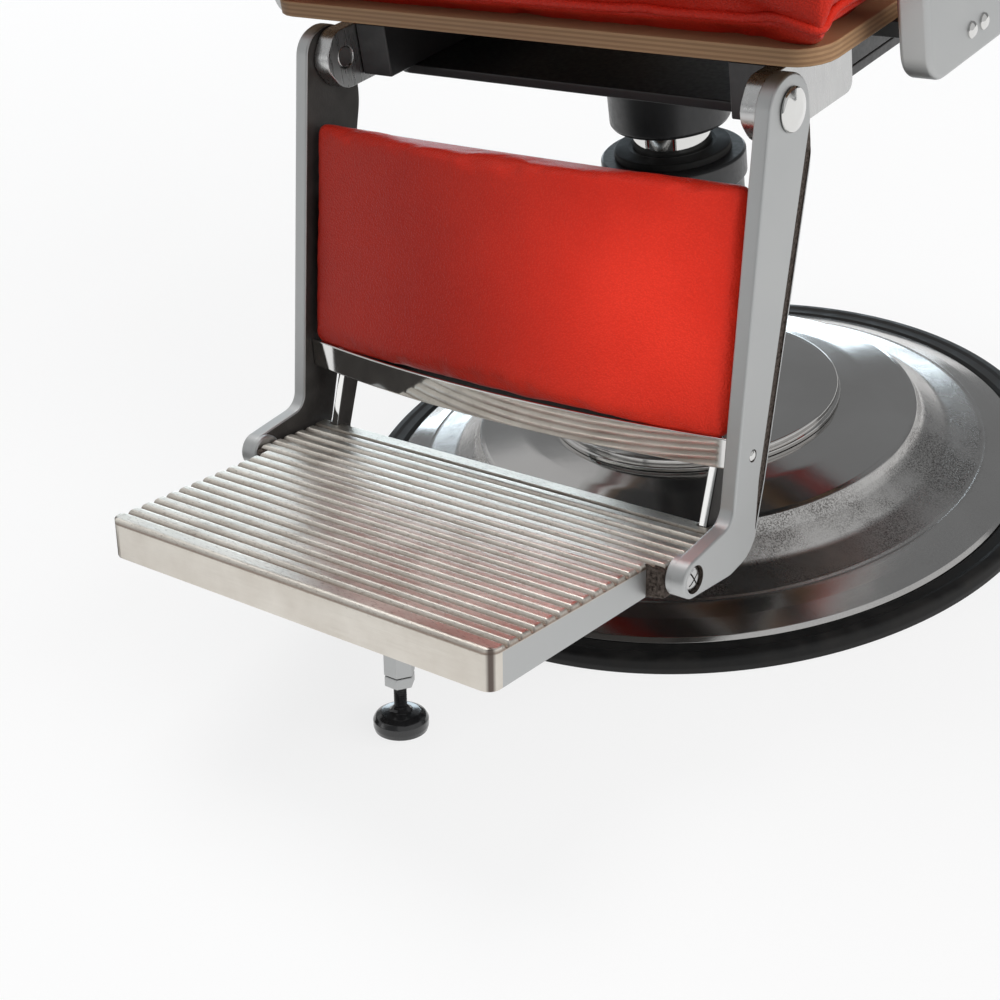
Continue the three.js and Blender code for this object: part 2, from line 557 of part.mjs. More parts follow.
function addFootPlate(chair) {
  const plate = new THREE.Group();
  plate.position.set(0, FOOT.firstRibY, FOOT.firstRibZ);
  plate.rotation.x = -THREE.MathUtils.degToRad(FOOT.tilt);
  chair.add(plate);
  const { frontHalf, waistHalf, rearHalf, front, waist, shoulder, rear, wall } = FOOT;
  const heel = rear + FOOT.lug;
  const lugInner = BRACE.outer + 1.2;
  const outline = rounded([
    [-frontHalf, front, 12], [frontHalf, front, 12], [waistHalf, waist, 1.5], [rearHalf, shoulder, 2],
    [rearHalf, heel, 5], [lugInner, heel, 3], [lugInner, rear, 0], [-lugInner, rear, 0],
    [-lugInner, heel, 3], [-rearHalf, heel, 5], [-rearHalf, shoulder, 2], [-waistHalf, waist, 1.5],
  ], 4);
  const tread = toSolid(sideways(treadProfile(), -200, 200));
  const ears = toSolid(block(-200, 200, rear - 1, heel + 8, -FOOT.rearDepth, -3));
  const solid = tread.add(ears).intersect(toSolid(raised(outline, -60, 40)));
  const hollowHalf = frontHalf - wall;
  const pocket = raised(rectangle(-hollowHalf, hollowHalf, front + wall, rear - wall, 8), -60, -FOOT.skin);
  const seat = rod(LEVELLER.seatRadius, -26, -FOOT.skin + 1, 20).translate(0, LEVELLER.along, 0);
  const stem = rod(LEVELLER.stem + 0.4, LEVELLER.stemTop, -12, 16).translate(0, LEVELLER.along, 0);
  const toPlate = (y, z) => new THREE.Vector2(y - FOOT.firstRibY, z - FOOT.firstRibZ)
    .rotateAround(new THREE.Vector2(), -plate.rotation.x);
  const step = toPlate(STEP_PIVOT.y, STEP_PIVOT.z);
  const link = toPlate(braceMiddle(BRACE.foot), BRACE.foot);
  const linkHead = toPlate(tie.y, tie.z);
  let casting = solid.subtract(toSolid(pocket)).add(toSolid(seat)).subtract(toSolid(stem));
  for (const side of [-1, 1]) {
    // Side lug that meets the boss of the arm, the slot for the link bar, and the lug beside the slot.
    const bossEnd = LEG.bossInner - GAP;
    const boss = block(rearHalf - 4, bossEnd, step.x - 13, step.x + 13, -FOOT.rearDepth - 1, -3.4);
    const bore = barX(STEP_SCREW.bore, STEP_SCREW.inner - 1, 220, step.x, step.y);
    const slot = new THREE.BoxGeometry(BRACE.outer - BRACE.inner + 2, BRACE.width + 4, 90)
      .rotateX(-Math.atan2(linkHead.x - link.x, linkHead.y - link.y))
      .translate((BRACE.inner + BRACE.outer) / 2, link.x, link.y);
    const open = block(BRACE.inner - 1, BRACE.outer + 1, link.x, rear + 40, -70, 10);
    const knuckle = barX(11, BRACE.outer + 1, rearHalf, link.x, link.y);
    for (const tool of [slot, open]) casting = casting.subtract(toSolid(onSide(tool, side)));
    for (const lug of [boss, knuckle]) casting = casting.add(toSolid(onSide(lug, side)));
    casting = casting.subtract(toSolid(onSide(bore, side)));
  }
  piece(plate, 'foot_plate', fromSolid(casting), castAluminium);

  // Levelling foot: hexagonal stand-off, lock nut, and the rubber foot on its stem.
  const { hexFlats, hexEnd, nutEnd, discEnd: bottom, discTop, discRadius: r, stem: stemRadius } = LEVELLER;
  const hexRadius = hexFlats / Math.sqrt(3);
  const hex = (radius, z0, z1) => rod(radius, z0, z1, 6).translate(0, LEVELLER.along, 0);
  const clear = rod(stemRadius + 0.4, -200, 0, 16).translate(0, LEVELLER.along, 0);
  piece(plate, 'foot_standoff', cut(hex(hexRadius, hexEnd, -26.3), clear), polished);
  piece(plate, 'foot_lock_nut', cut(hex(hexRadius - 0.4, nutEnd, hexEnd - GAP), clear), polished);
  const foot = turned([
    [0, bottom], [r - 2, bottom], [r, bottom + 2], [r, bottom + 9], [r - 2, bottom + 12.5],
    [r - 6, bottom + 14.7], [stemRadius + 2, discTop], [stemRadius, discTop + 2],
    [stemRadius, LEVELLER.stemTop], [0, LEVELLER.stemTop],
  ], 28).translate(0, LEVELLER.along, 0);
  piece(plate, 'levelling_foot', foot, rubber);
}

// ---- the chair -------------------------------------------------------------------------------------

const chair = new THREE.Group();
addBase(chair);
addPump(chair);
addSeatFrame(chair);
addArmrests(chair);
addReclineLever(chair);
addBack(chair);
addLegRest(chair);
addBraces(chair);
addCalfPad(chair);
addFootPlate(chair);

export default chair;
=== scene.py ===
# Hydraulic barber chair: finishes, soft parts, small fasteners and a plain studio, set round the
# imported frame. Lengths are in millimetres until a mesh is made; the frame itself is in metres.

import math

import bmesh
import bpy
from mathutils import Matrix, Vector
from mathutils.bvhtree import BVHTree
from mathutils.kdtree import KDTree


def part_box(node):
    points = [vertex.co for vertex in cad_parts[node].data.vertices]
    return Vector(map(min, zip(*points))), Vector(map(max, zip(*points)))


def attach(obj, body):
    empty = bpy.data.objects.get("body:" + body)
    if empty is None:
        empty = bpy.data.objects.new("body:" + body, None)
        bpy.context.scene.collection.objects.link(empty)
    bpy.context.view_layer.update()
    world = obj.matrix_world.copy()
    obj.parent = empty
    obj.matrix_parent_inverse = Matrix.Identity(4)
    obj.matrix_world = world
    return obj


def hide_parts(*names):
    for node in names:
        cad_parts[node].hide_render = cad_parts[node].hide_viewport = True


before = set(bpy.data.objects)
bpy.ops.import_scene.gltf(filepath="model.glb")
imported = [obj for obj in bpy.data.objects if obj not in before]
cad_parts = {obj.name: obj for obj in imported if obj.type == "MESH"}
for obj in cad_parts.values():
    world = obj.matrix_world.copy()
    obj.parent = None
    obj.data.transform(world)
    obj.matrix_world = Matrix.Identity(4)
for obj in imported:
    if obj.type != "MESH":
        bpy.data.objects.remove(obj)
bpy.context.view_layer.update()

MM = 0.001
MIRROR = Matrix.Scale(-1, 4, (1, 0, 0))
SIDES = (("left", MIRROR), ("right", Matrix()))

# ---- driving dimensions, in millimetres and degrees ----

CAMERA = {
    "place": (757.0, -1120.2, 814.6), "azimuth": 41.66, "elevation": 31.39, "roll": -8.72,
    "lens": 63.7, "sensor": 36,
}
BASE = {
    "tyre_outer": 300, "tyre_inner": 277, "tyre_top": 15, "underside": 5.3, "dome": 276.6, "dome_top": 70.5,
    "crease": 243, "crease_top": 27, "rim": 187, "rim_top": 60.6,
    "flange": 123, "flange_foot": 71, "flange_top": 82,
}
PUMP = {
    "casing": 55, "casing_top": 296, "bore": 32, "bore_foot": 40, "seal_top": 303,
    "ram": 31.5, "ram_foot": 42, "ram_top": 357,
}
LEVER = {
    "angle": 150, "pivot": 84, "height": 122, "reach": 322, "half_width": 10, "bottom": 88, "top": 101,
    "pedal": 52, "pedal_half": 22, "cleats": 6, "cleat_pitch": 8,
}
SEAT = {"socket_foot": 322, "socket_top": 385, "socket": 46, "socket_roof": 357.4}
ARMREST = {
    "inner": 262, "thickness": 22, "bottom": 420, "top": 712,
    "screws": {"front": -62, "rear": 212}, "screw_step": 9, "screw_height": 439.5,
}
HANDLE = {"place": (70, 441), "hub": 17, "length": 128, "ball": 16, "ball_up": 142}
LEG = {
    "pivot": (-166, 412), "slope": 0.29, "boss_inner": 189.9, "inner": 193.6, "outer": 205.6,
    "front": (-258, 193.7), "rear": (-212, 197), "rear_slope": 0.4, "small_screw": (-238.8, 193.3),
    "groove_rim": 3.0, "groove_band": 11.2,
}
STEP = {"pivot": (-320, 142), "boss": 14, "recess": 10, "recess_depth": 5, "head": 8.8}
BRACE = {
    "inner": 170, "outer": 177, "width": 16, "top": 252, "foot": 130,
    "slope": 0.53, "line": (-256.3, 144.3), "line_to_middle": 9.1,
}
CALF = {
    "half": 192.5, "edge": -20, "bulge": 26, "bottom": -218.5, "hem": 18,
    "strip_bottom": -242, "strip_lean": 9, "strip_thickness": 3,
}
FOOT = {
    "first_rib": (-481.5, 184), "tilt": 11.3, "ribs": 18, "pitch": 12.46, "rib": 3.2, "rib_width": 9.4,
    "front_half": 172, "waist_half": 177, "rear_half": 188, "waist": 152, "shoulder": 156,
    "front": -10, "rear": 232, "corner": 9, "lip": 3.5, "rim": 1.2, "rear_rim": 2, "nose": 3.2,
    "lug": 22, "front_depth": 30, "rear_depth": 23, "skin": 9, "wall": 9,
}
LAST_RIB = (FOOT["ribs"] - 1) * FOOT["pitch"]
HOLLOW = {
    "half": FOOT["front_half"] - FOOT["wall"],
    "front": FOOT["front"] + FOOT["wall"], "rear": FOOT["rear"] - FOOT["wall"],
}
LEVELLER = {
    "along": 100, "flats": 20.4, "hex_end": -116.5, "nut_end": -125.5, "disc_top": -145,
    "disc_end": -162.5, "disc": 20.5, "stem": 4.8, "stem_top": -60, "thread": 1.5,
}
BACK = {"pivot": (345, 470), "lean": 14, "half": 243, "top": 522, "seam": 80}
HEADREST = {"pin": (4, 617), "half": 132, "bottom": 558, "top": 684}

# ---- studio values, in metres ----

FLOOR = {"reach": 14, "drop": 0.0003, "white": 0.955, "fibre": 0.945, "grey": 0.35, "glow": 0.79}
FLAG = {"near": (-0.30, -0.565), "far": (-0.43, -0.37), "height": 0.13}
SKY = {"dim": (0.225, 0.23, 0.235), "pale": (0.94, 0.94, 0.94)}


def turned_frame(y, z, degrees):
    """A frame at (0, y, z) turned about X."""
    return Matrix.Translation((0, y, z)) @ Matrix.Rotation(math.radians(degrees), 4, "X")


LEG_FRAME = turned_frame(*LEG["pivot"], -math.degrees(math.atan(LEG["slope"])))
PLATE_FRAME = turned_frame(*FOOT["first_rib"], -FOOT["tilt"])
BACK_FRAME = turned_frame(*BACK["pivot"], -BACK["lean"])
LEVER_FRAME = Matrix.Rotation(math.radians(LEVER["angle"]), 4, "Z")

# How the axes (a, b, c) of a prism lie: from the side as (y, z, x), upright as (x, z, -y) or (x, z, y).
SIDE_VIEW = Matrix(((0, 0, 1), (1, 0, 0), (0, 1, 0))).to_4x4()
UPRIGHT = Matrix(((1, 0, 0), (0, 0, -1), (0, 1, 0))).to_4x4()
BACK_VIEW = Matrix(((1, 0, 0), (0, 0, 1), (0, 1, 0))).to_4x4()


def along_x(x, y, z):
    """A frame at a point, with its Z along X."""
    return Matrix.Translation((x, y, z)) @ Matrix.Rotation(math.radians(90), 4, "Y")


# ---- camera ----

def placed(name, data):
    """A new object in the scene."""
    thing = bpy.data.objects.new(name, data)
    bpy.context.scene.collection.objects.link(thing)
    return thing


def direction(azimuth, elevation):
    """The way to the sky by degrees; azimuth 0 is in front of the chair, 90 on its right."""
    a, e = math.radians(azimuth), math.radians(elevation)
    return Vector((math.sin(a) * math.cos(e), -math.cos(a) * math.cos(e), math.sin(e)))


def add_camera():
    behind = direction(CAMERA["azimuth"], CAMERA["elevation"])
    right = Vector((0, 0, 1)).cross(behind).normalized()
    up = behind.cross(right)
    roll = math.radians(CAMERA["roll"])
    x_axis = right * math.cos(roll) + up * math.sin(roll)
    y_axis = up * math.cos(roll) - right * math.sin(roll)
    data = bpy.data.cameras.new("camera")
    data.lens = CAMERA["lens"]
    data.sensor_width = CAMERA["sensor"]
    data.clip_end = 60
    camera = placed("camera", data)
    turn = Matrix((x_axis, y_axis, behind)).transposed().to_4x4()
    camera.matrix_world = Matrix.Translation(Vector(CAMERA["place"]) * MM) @ turn
    bpy.context.scene.camera = camera


# ---- outlines and meshes ----

def rounded(corners, steps=7):
    """A closed outline through corners (a, b, radius), each rounded by its radius."""
    points = []
    for i, (a, b, radius) in enumerate(corners):
        corner = Vector((a, b))
        if radius == 0:
            points.append(corner)
            continue
        before = (Vector(corners[i - 1][:2]) - corner).normalized()
        after = (Vector(corners[(i + 1) % len(corners)][:2]) - corner).normalized()
        half = before.angle(after) / 2
        centre = corner + (before + after).normalized() * radius / math.sin(half)
        start = corner + before * radius / math.tan(half) - centre
        end = corner + after * radius / math.tan(half) - centre
        sweep = end.angle_signed(start)
        for k in range(steps + 1):
            turn = Matrix.Rotation(sweep * k / steps, 2)
            points.append(turn @ start + centre)
    return points


def rectangle(low, high, radius, steps=7):
    """A rounded rectangle between two corners."""
    return rounded([(low[0], low[1], radius), (high[0], low[1], radius),
                    (high[0], high[1], radius), (low[0], high[1], radius)], steps)


def inset(outline, distance):
    """The outline moved inwards."""
    count = len(outline)
    area = sum(outline[i - 1].cross(outline[i]) for i in range(count))
    sign = 1 if area > 0 else -1
    moved = []
    for i, point in enumerate(outline):
        before = (point - outline[i - 1]).normalized()
        after = (outline[(i + 1) % count] - point).normalized()
        normal = Vector((-before.y - after.y, before.x + after.x)).normalized() * sign
        bend = max(0.4, normal.dot(Vector((-after.y, after.x)) * sign))
        moved.append(point + normal * distance / bend)
    return moved


def edge_levels(low, high, edge, steps):
    """Pairs (height, inset) that round both rims of a slab."""
    arc = [math.pi / 2 * k / steps for k in range(steps + 1)]
    lower = [(low + edge * (1 - math.cos(a)), edge * (1 - math.sin(a))) for a in arc]
    upper = [(high - edge * (1 - math.cos(a)), edge * (1 - math.sin(a))) for a in reversed(arc)]
    return lower + upper


def prism(outline, low, high, edge=1.5, steps=3):
    """A slab with rounded rims: the outline in (a, b), raised along c from low to high."""
    vertices, rings = [], []
    for c, distance in edge_levels(low, high, edge, steps):
        ring = inset(outline, distance) if distance > 1e-6 else outline
        rings.append(range(len(vertices), len(vertices) + len(ring)))
        vertices += [(p.x, p.y, c) for p in ring]
    count = len(outline)
    faces = [list(rings[0])[::-1], list(rings[-1])]
    for lower, upper in zip(rings, rings[1:]):
        for i in range(count):
            j = (i + 1) % count
            faces.append([lower[i], lower[j], upper[j], upper[i]])
    return vertices, faces



def lathe(profile, sides=128):
    """A turned part about Z from pairs (radius, height); it ends on the axis or closes on itself."""
    vertices, rings = [], []
    for radius, height in profile:
        if radius < 1e-6:
            rings.append([len(vertices)] * sides)
            vertices.append((0, 0, height))
            continue
        rings.append(list(range(len(vertices), len(vertices) + sides)))
        angles = [2 * math.pi * i / sides for i in range(sides)]
        vertices += [(radius * math.cos(a), radius * math.sin(a), height) for a in angles]
    pairs = list(zip(rings, rings[1:]))
    if profile[0][0] > 1e-6:
        pairs.append((rings[-1], rings[0]))
    faces = []
    for lower, upper in pairs:
        for i in range(sides):
            j = (i + 1) % sides
            face = list(dict.fromkeys([lower[i], lower[j], upper[j], upper[i]]))
            if len(face) > 2:
                faces.append(face)
    return vertices, faces


def turned(corners, steps, sides):
    """A turned part about Z from corners (radius, height, rounding)."""
    return lathe(rounded(corners, steps), sides)


def rod(radius, low, high, edge=0.8, sides=48):
    """A round bar about Z with broken edges."""
    return lathe([(0, low), (radius - edge, low), (radius, low + edge), (radius, high - edge),
                  (radius - edge, high), (0, high)], sides)


def box_part(low, high, radius, edge):
    """A block between two corners; its upright edges have the radius, its rims the edge."""
    return prism(rectangle(low, high, radius, 4), low[2], high[2], edge)


def swept(path, radius, sides):
    """A round cord along a closed path of points."""
    count = len(path)
    tangents = [(path[(i + 1) % count] - path[i - 1]).normalized() for i in range(count)]
    normal = tangents[0].orthogonal().normalized()
    frames = []
    for tangent in tangents:
        normal = (normal - tangent * normal.dot(tangent)).normalized()
        frames.append((normal, tangent.cross(normal)))
    end = frames[-1][0]
    carried = (end - tangents[0] * end.dot(tangents[0])).normalized()
    twist = math.atan2(carried.dot(frames[0][1]), carried.dot(frames[0][0]))
    vertices, faces = [], []
    for i, (point, (side, up)) in enumerate(zip(path, frames)):
        lag = -twist * i / count
        here, there = i * sides, (i + 1) % count * sides
        for k in range(sides):
            a = 2 * math.pi * k / sides + lag
            vertices.append(tuple(point + (side * math.cos(a) + up * math.sin(a)) * radius))
            j = (k + 1) % sides
            faces.append([here + k, here + j, there + j, there + k])
    return vertices, faces


class Shape:
    """Parts put together as one piece, each with the index of its material."""

    def __init__(self, part, place=Matrix(), mark=0):
        self.vertices, self.faces, self.marks = [], [], []
        self.add(part, place, mark)

    def add(self, part, place=Matrix(), mark=0):
        vertices, faces = part
        first = len(self.vertices)
        flip = place.determinant() < 0
        self.vertices += [place @ Vector(v) for v in vertices]
        for face in faces:
            numbers = [first + i for i in face]
            self.faces.append(numbers[::-1] if flip else numbers)
            self.marks.append(mark)

    def mesh(self, name):
        mesh = bpy.data.meshes.new(name)
        mesh.from_pydata([tuple(v * MM) for v in self.vertices], [], self.faces)
        mesh.polygons.foreach_set("material_index", self.marks)
        work = bmesh.new()
        work.from_mesh(mesh)
        bmesh.ops.recalc_face_normals(work, faces=work.faces)
        work.to_mesh(mesh)
        work.free()
        return mesh


def modify(thing, kind, **settings):
    """Adds a modifier to a piece."""
    step = thing.modifiers.new(kind.lower(), kind)
    for key, value in settings.items():
        setattr(step, key, value)


def mend(thing):
    """Welds a CAD mesh and joins the triangles of its flat faces."""
    modify(thing, "WELD", merge_threshold=0.00001)
    modify(thing, "DECIMATE", decimate_type="DISSOLVE", angle_limit=math.radians(1))


def bevel(thing, width, segments, degrees, **settings):
    """Rounds the edges that turn by more than an angle."""
    modify(thing, "BEVEL", width=width * MM, segments=segments, limit_method="ANGLE",
           angle_limit=math.radians(degrees), **settings)


def weigh(thing):
    """Flat faces stay flat next to rounded edges."""
    modify(thing, "WEIGHTED_NORMAL", keep_sharp=True)


def shade(thing, degrees=32):
    """Smooth shading between the edges that turn by more than an angle."""
    thing.data.shade_smooth()
    thing.data.set_sharp_from_angle(angle=math.radians(degrees))
    weigh(thing)


def settle(thing):
    """Applies the modifiers of a piece to its mesh."""
    bpy.context.view_layer.update()
    seen = thing.evaluated_get(bpy.context.evaluated_depsgraph_get())
    mesh = bpy.data.meshes.new_from_object(seen)
    thing.modifiers.clear()
    thing.data = mesh


def make(name, shape, slot, body, replaced=(), finishes=None, degrees=32):
    """A finished piece that rides on a body, in the slot's own finish unless others are given."""
    mesh = shape.mesh(name)
    thing = placed(name, mesh)
    for finish in finishes or [FINISH[slot]]:
        mesh.materials.append(finish)
    shade(thing, degrees)
    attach(thing, body)
    if replaced:
        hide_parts(*replaced)
    return thing


def carve(thing, shape, operation="DIFFERENCE"):
    """Cuts a shape out of a piece, or joins it on."""
    tool = placed("carving tool", shape.mesh("carving tool"))
    thing.modifiers.clear()
    modify(thing, "BOOLEAN", object=tool, operation=operation, solver="MANIFOLD")
    settle(thing)
    bpy.data.objects.remove(tool)
    shade(thing)


# ---- finishes; lengths in metres ----

METAL = {"Metallic": 1.0}


class Finish:
    """A node material built round one Principled shader."""

    def __init__(self, name, values=None):
        self.material = bpy.data.materials.new(name)
        self.material.use_nodes = True
        self.tree = self.material.node_tree
        self.shader = self.tree.nodes["Principled BSDF"]
        for socket, value in (values or {}).items():
            self.shader.inputs[socket].default_value = value
        self.coordinates = self.tree.nodes.new("ShaderNodeTexCoord").outputs["Object"]

    def node(self, kind, inputs=None, **settings):
        node = self.tree.nodes.new(kind)
        for key, value in settings.items():
            setattr(node, key, value)
        for key, value in (inputs or {}).items():
            if isinstance(value, bpy.types.NodeSocket):
                self.tree.links.new(value, node.inputs[key])
            else:
                node.inputs[key].default_value = value
        return node

    def stretched(self, scale):
        return self.node("ShaderNodeMapping", {"Vector": self.coordinates, "Scale": scale}).outputs[0]

    def noise(self, scale, detail=3.0, stretch=(1, 1, 1), roughness=0.5):
        return self.node("ShaderNodeTexNoise", {
            "Vector": self.stretched(stretch), "Scale": scale, "Detail": detail, "Roughness": roughness,
        }).outputs["Fac"]

    def cells(self, scale):
        return self.node("ShaderNodeTexVoronoi", {
            "Vector": self.stretched((1, 1, 1)), "Scale": scale,
        }, feature="F1").outputs["Distance"]

    def dot(self, axis):
        """How far a point lies along an axis."""
        return self.node("ShaderNodeVectorMath", {
            0: self.coordinates, 1: axis,
        }, operation="DOT_PRODUCT").outputs["Value"]

    def ranged(self, value, low, high, to_low, to_high):
        return self.node("ShaderNodeMapRange", {
            "Value": value, "From Min": low, "From Max": high, "To Min": to_low, "To Max": to_high,
        }).outputs[0]

    def maths(self, operation, a, b):
        return self.node("ShaderNodeMath", {0: a, 1: b}, operation=operation).outputs[0]

    def mixed(self, factor, a, b):
        node = self.node("ShaderNodeMix", {0: factor}, data_type="RGBA")
        for socket, value in ((node.inputs[6], a), (node.inputs[7], b)):
            if isinstance(value, bpy.types.NodeSocket):
                self.tree.links.new(value, socket)
            else:
                socket.default_value = (*value, 1)
        return node.outputs[2]

    def drive(self, key, value):
        self.tree.links.new(value, self.shader.inputs[key])

    def tint(self, factor, a, b):
        self.drive("Base Color", self.mixed(factor, a, b))

    def roughen(self, value, low, high, to_low, to_high):
        self.drive("Roughness", self.ranged(value, low, high, to_low, to_high))

    def bump(self, *layers):
        """Layers of (height, strength, depth), one on the other."""
        normal = None
        for height, strength, depth in layers:
            inputs = {"Height": height, "Strength": strength, "Distance": depth}
            if normal is not None:
                inputs["Normal"] = normal
            normal = self.node("ShaderNodeBump", inputs).outputs[0]
        self.drive("Normal", normal)

    def height(self):
        return self.node("ShaderNodeSeparateXYZ", {0: self.coordinates}).outputs[2]


def mottled(name, values, clouds, colours, wear, rough, bumps):
    """A finish from noises (scale, detail): clouds mix its two colours and wear sets its roughness."""
    f = Finish(name, values)
    f.tint(f.noise(*clouds), *colours)
    f.roughen(f.noise(*wear), *rough)
    f.bump(*((f.noise(*grain), strength, depth) for grain, strength, depth in bumps))
    return f.material


def cast_aluminium():
    """Brushed casting of the foot plate: warm, with dark pits, painted shade in its valleys and a painted dark
    reflection on its front corners.
    """
    pale, warm = (0.79, 0.75, 0.685), (0.67, 0.625, 0.56)
    pit, painted_valley_shade, painted_corner_reflection = (0.16, 0.11, 0.08), (0.20, 0.135, 0.10), (0.10, 0.075, 0.065)
    f = Finish("cast aluminium", METAL)
    blotches = f.noise(30, 4)
    brushing = f.noise(1000, 3, (0.03, 1, 1))
    pits = f.noise(760, 4, (0.35, 1, 1), 0.7)
    lean = math.radians(FOOT["tilt"])
    y, z = FOOT["first_rib"]
    level = (y * math.sin(lean) + z * math.cos(lean)) * MM
    depth = f.maths("SUBTRACT", f.dot((0, math.sin(lean), math.cos(lean))), level)
    top = f.mixed(f.ranged(blotches, 0.35, 0.65, 0, 1), warm, pale)
    pitted = f.maths("MULTIPLY", f.ranged(pits, 0.53, 0.72, 0, 0.55), f.ranged(depth, -0.006, -0.004, 0, 1))
    # Painted shade: the valleys between the ribs are tinted brown, as if they lay in shade.
    valley, above_wall = f.ranged(depth, -0.0012, -0.0030, 0, 1), f.ranged(depth, -0.0044, -0.0036, 0, 0.74)
    plate = f.mixed(f.maths("MULTIPLY", valley, above_wall), f.mixed(pitted, top, pit), painted_valley_shade)
    # Painted dark reflection: the two front corners of the plate are darkened by their position.
    half = FOOT["front_half"]
    aside = f.maths("ABSOLUTE", f.dot((1, 0, 0)), 0)
    forward = f.dot((0, -math.cos(lean), math.sin(lean)))
    edge = (-y * math.cos(lean) + z * math.sin(lean) - FOOT["front"]) * MM
    near_side = f.ranged(aside, (half - 5.5) * MM, (half - 3.5) * MM, 0, 1)
    near_front = f.ranged(forward, edge - 0.0055, edge - 0.0035, 0, 1)
    corner = f.maths("MULTIPLY", f.maths("MULTIPLY", near_side, near_front), 0.93)
    f.tint(corner, plate, painted_corner_reflection)
    f.roughen(f.maths("ADD", blotches, brushing), 0.7, 1.3, 0.33, 0.48)
    f.bump((brushing, 0.26, 0.0004), (f.noise(240, 3), 0.08, 0.0007))
    return f.material


def satin_aluminium():
    return mottled("satin aluminium", METAL, (24, 3), ((0.49, 0.495, 0.49), (0.58, 0.59, 0.59)),
                   (24, 3), (0.3, 0.7, 0.44, 0.54), [((1500, 2), 0.05, 0.0003), ((90, 2), 0.07, 0.0012)])


# Painted shade: a near-black finish for faces that lie in shade, namely the inner faces of the leg arms, the
# flat sides of the link bars and the underside of the foot plate; the flag board wears it too.
def painted_shade_finish():
    return mottled("painted shade finish", {"Metallic": 0.6}, (60, 4), ((0.035, 0.032, 0.030), (0.095, 0.088, 0.082)),
                   (60, 4), (0.3, 0.7, 0.35, 0.5), [((500, 4), 0.25, 0.0006)])


def rough_casting():
    f = Finish("rough casting", METAL)
    lumps = f.noise(420, 5, roughness=0.65)
    f.tint(f.ranged(lumps, 0.35, 0.7, 0, 1), (0.035, 0.026, 0.021), (0.24, 0.20, 0.175))
    f.roughen(lumps, 0.3, 0.7, 0.5, 0.75)
    f.bump((lumps, 0.9, 0.0022), (f.cells(620), 0.5, 0.0010))
    return f.material


def polished_base():
    """Polished casting; the slopes below the rim keep a fine cast grain in patches."""
    f = Finish("polished base", METAL)
    smears = f.noise(12, 4)
    grain = f.noise(820, 4, roughness=0.75)
    under_rim = f.ranged(f.height(), 0.0605, 0.0585, 0, 1)
    slope = f.maths("MULTIPLY", under_rim, f.ranged(f.height(), 0.0262, 0.0285, 0.12, 1))
    patches = f.maths("MULTIPLY", f.ranged(f.noise(11, 5, (1, 1, 2), 0.6), 0.42, 0.60, 0, 1), slope)
    speckle = f.maths("MULTIPLY", f.ranged(grain, 0.44, 0.58, 0, 0.85), patches)
    clean = f.mixed(smears, (0.54, 0.525, 0.51), (0.66, 0.65, 0.635))
    f.tint(speckle, clean, (0.075, 0.066, 0.060))
    rough = f.maths("ADD", f.ranged(smears, 0.3, 0.7, 0.07, 0.15), f.maths("MULTIPLY", slope, 0.16))
    f.drive("Roughness", rough)
    f.bump((f.maths("MULTIPLY", grain, patches), 0.22, 0.0010), (f.noise(36, 2), 0.05, 0.0015))
    return f.material


def chrome():
    return mottled("chrome", METAL, (30, 3), ((0.68, 0.675, 0.66), (0.75, 0.745, 0.73)),
                   (30, 3), (0.3, 0.75, 0.035, 0.085), [((22, 2), 0.03, 0.0012)])


def bright_steel():
    drawn = (700, 2, (1, 1, 0.05))
    return mottled("bright steel", METAL, (40, 3), ((0.52, 0.52, 0.52), (0.62, 0.62, 0.61)),
                   drawn, (0.3, 0.7, 0.24, 0.36), [(drawn, 0.06, 0.0003)])


def black_paint():
    return mottled("black paint", {"Coat Weight": 0.25, "Coat Roughness": 0.25},
                   (50, 3), ((0.014, 0.014, 0.015), (0.024, 0.024, 0.025)),
                   (260, 2), (0.3, 0.7, 0.36, 0.5), [((260, 2), 0.08, 0.0006)])


def black_rubber():
    f = Finish("black rubber", {"Specular IOR Level": 0.3})
    dust = f.noise(60, 4)
    f.tint(f.ranged(dust, 0.4, 0.75, 0, 1), (0.006, 0.006, 0.006), (0.018, 0.017, 0.016))
    f.roughen(dust, 0.3, 0.7, 0.50, 0.68)
    f.bump((f.noise(1400, 2), 0.12, 0.0003))
    return f.material


def glossy_black():
    return mottled("glossy black", {"Coat Weight": 0.6, "Coat Roughness": 0.08},
                   (120, 3), ((0.008, 0.008, 0.009), (0.016, 0.016, 0.017)),
                   (120, 3), (0.3, 0.7, 0.16, 0.3), [((300, 2), 0.03, 0.0005)])


def red_leather():
    f = Finish("red leather", {"Specular IOR Level": 0.22})
    cloud = f.noise(9, 3)
    pebble = f.cells(720)
    fine = f.noise(1500, 3)
    wrinkle = f.noise(420, 3, (1, 1, 0.6))
    shades = f.mixed(f.ranged(cloud, 0.35, 0.65, 0, 1), (0.58, 0.024, 0.011), (0.67, 0.033, 0.016))
    f.tint(f.ranged(pebble, 0.1, 0.6, 0.0, 0.22), shades, (0.34, 0.008, 0.004))
    f.roughen(f.maths("ADD", cloud, fine), 0.7, 1.3, 0.34, 0.46)
    f.bump((pebble, 0.46, 0.0010), (wrinkle, 0.36, 0.0010), (fine, 0.14, 0.0003), (f.noise(28, 3), 0.10, 0.004))
    return f.material


def plywood():
    f = Finish("plywood")
    layers = f.node("ShaderNodeTexWave", {
        "Vector": f.stretched((0, 0, 1)), "Scale": 95.0, "Distortion": 0.2, "Detail": 2.0,
    }, bands_direction="Z").outputs["Fac"]
    fibre = f.noise(240, 4, (0.08, 1, 1))
    wood = f.mixed(fibre, (0.30, 0.17, 0.085), (0.45, 0.28, 0.15))
    f.tint(f.ranged(layers, 0.3, 0.7, 0, 0.6), wood, (0.20, 0.11, 0.055))
    f.roughen(fibre, 0.3, 0.7, 0.55, 0.7)
    f.bump((fibre, 0.2, 0.0005))
    return f.material


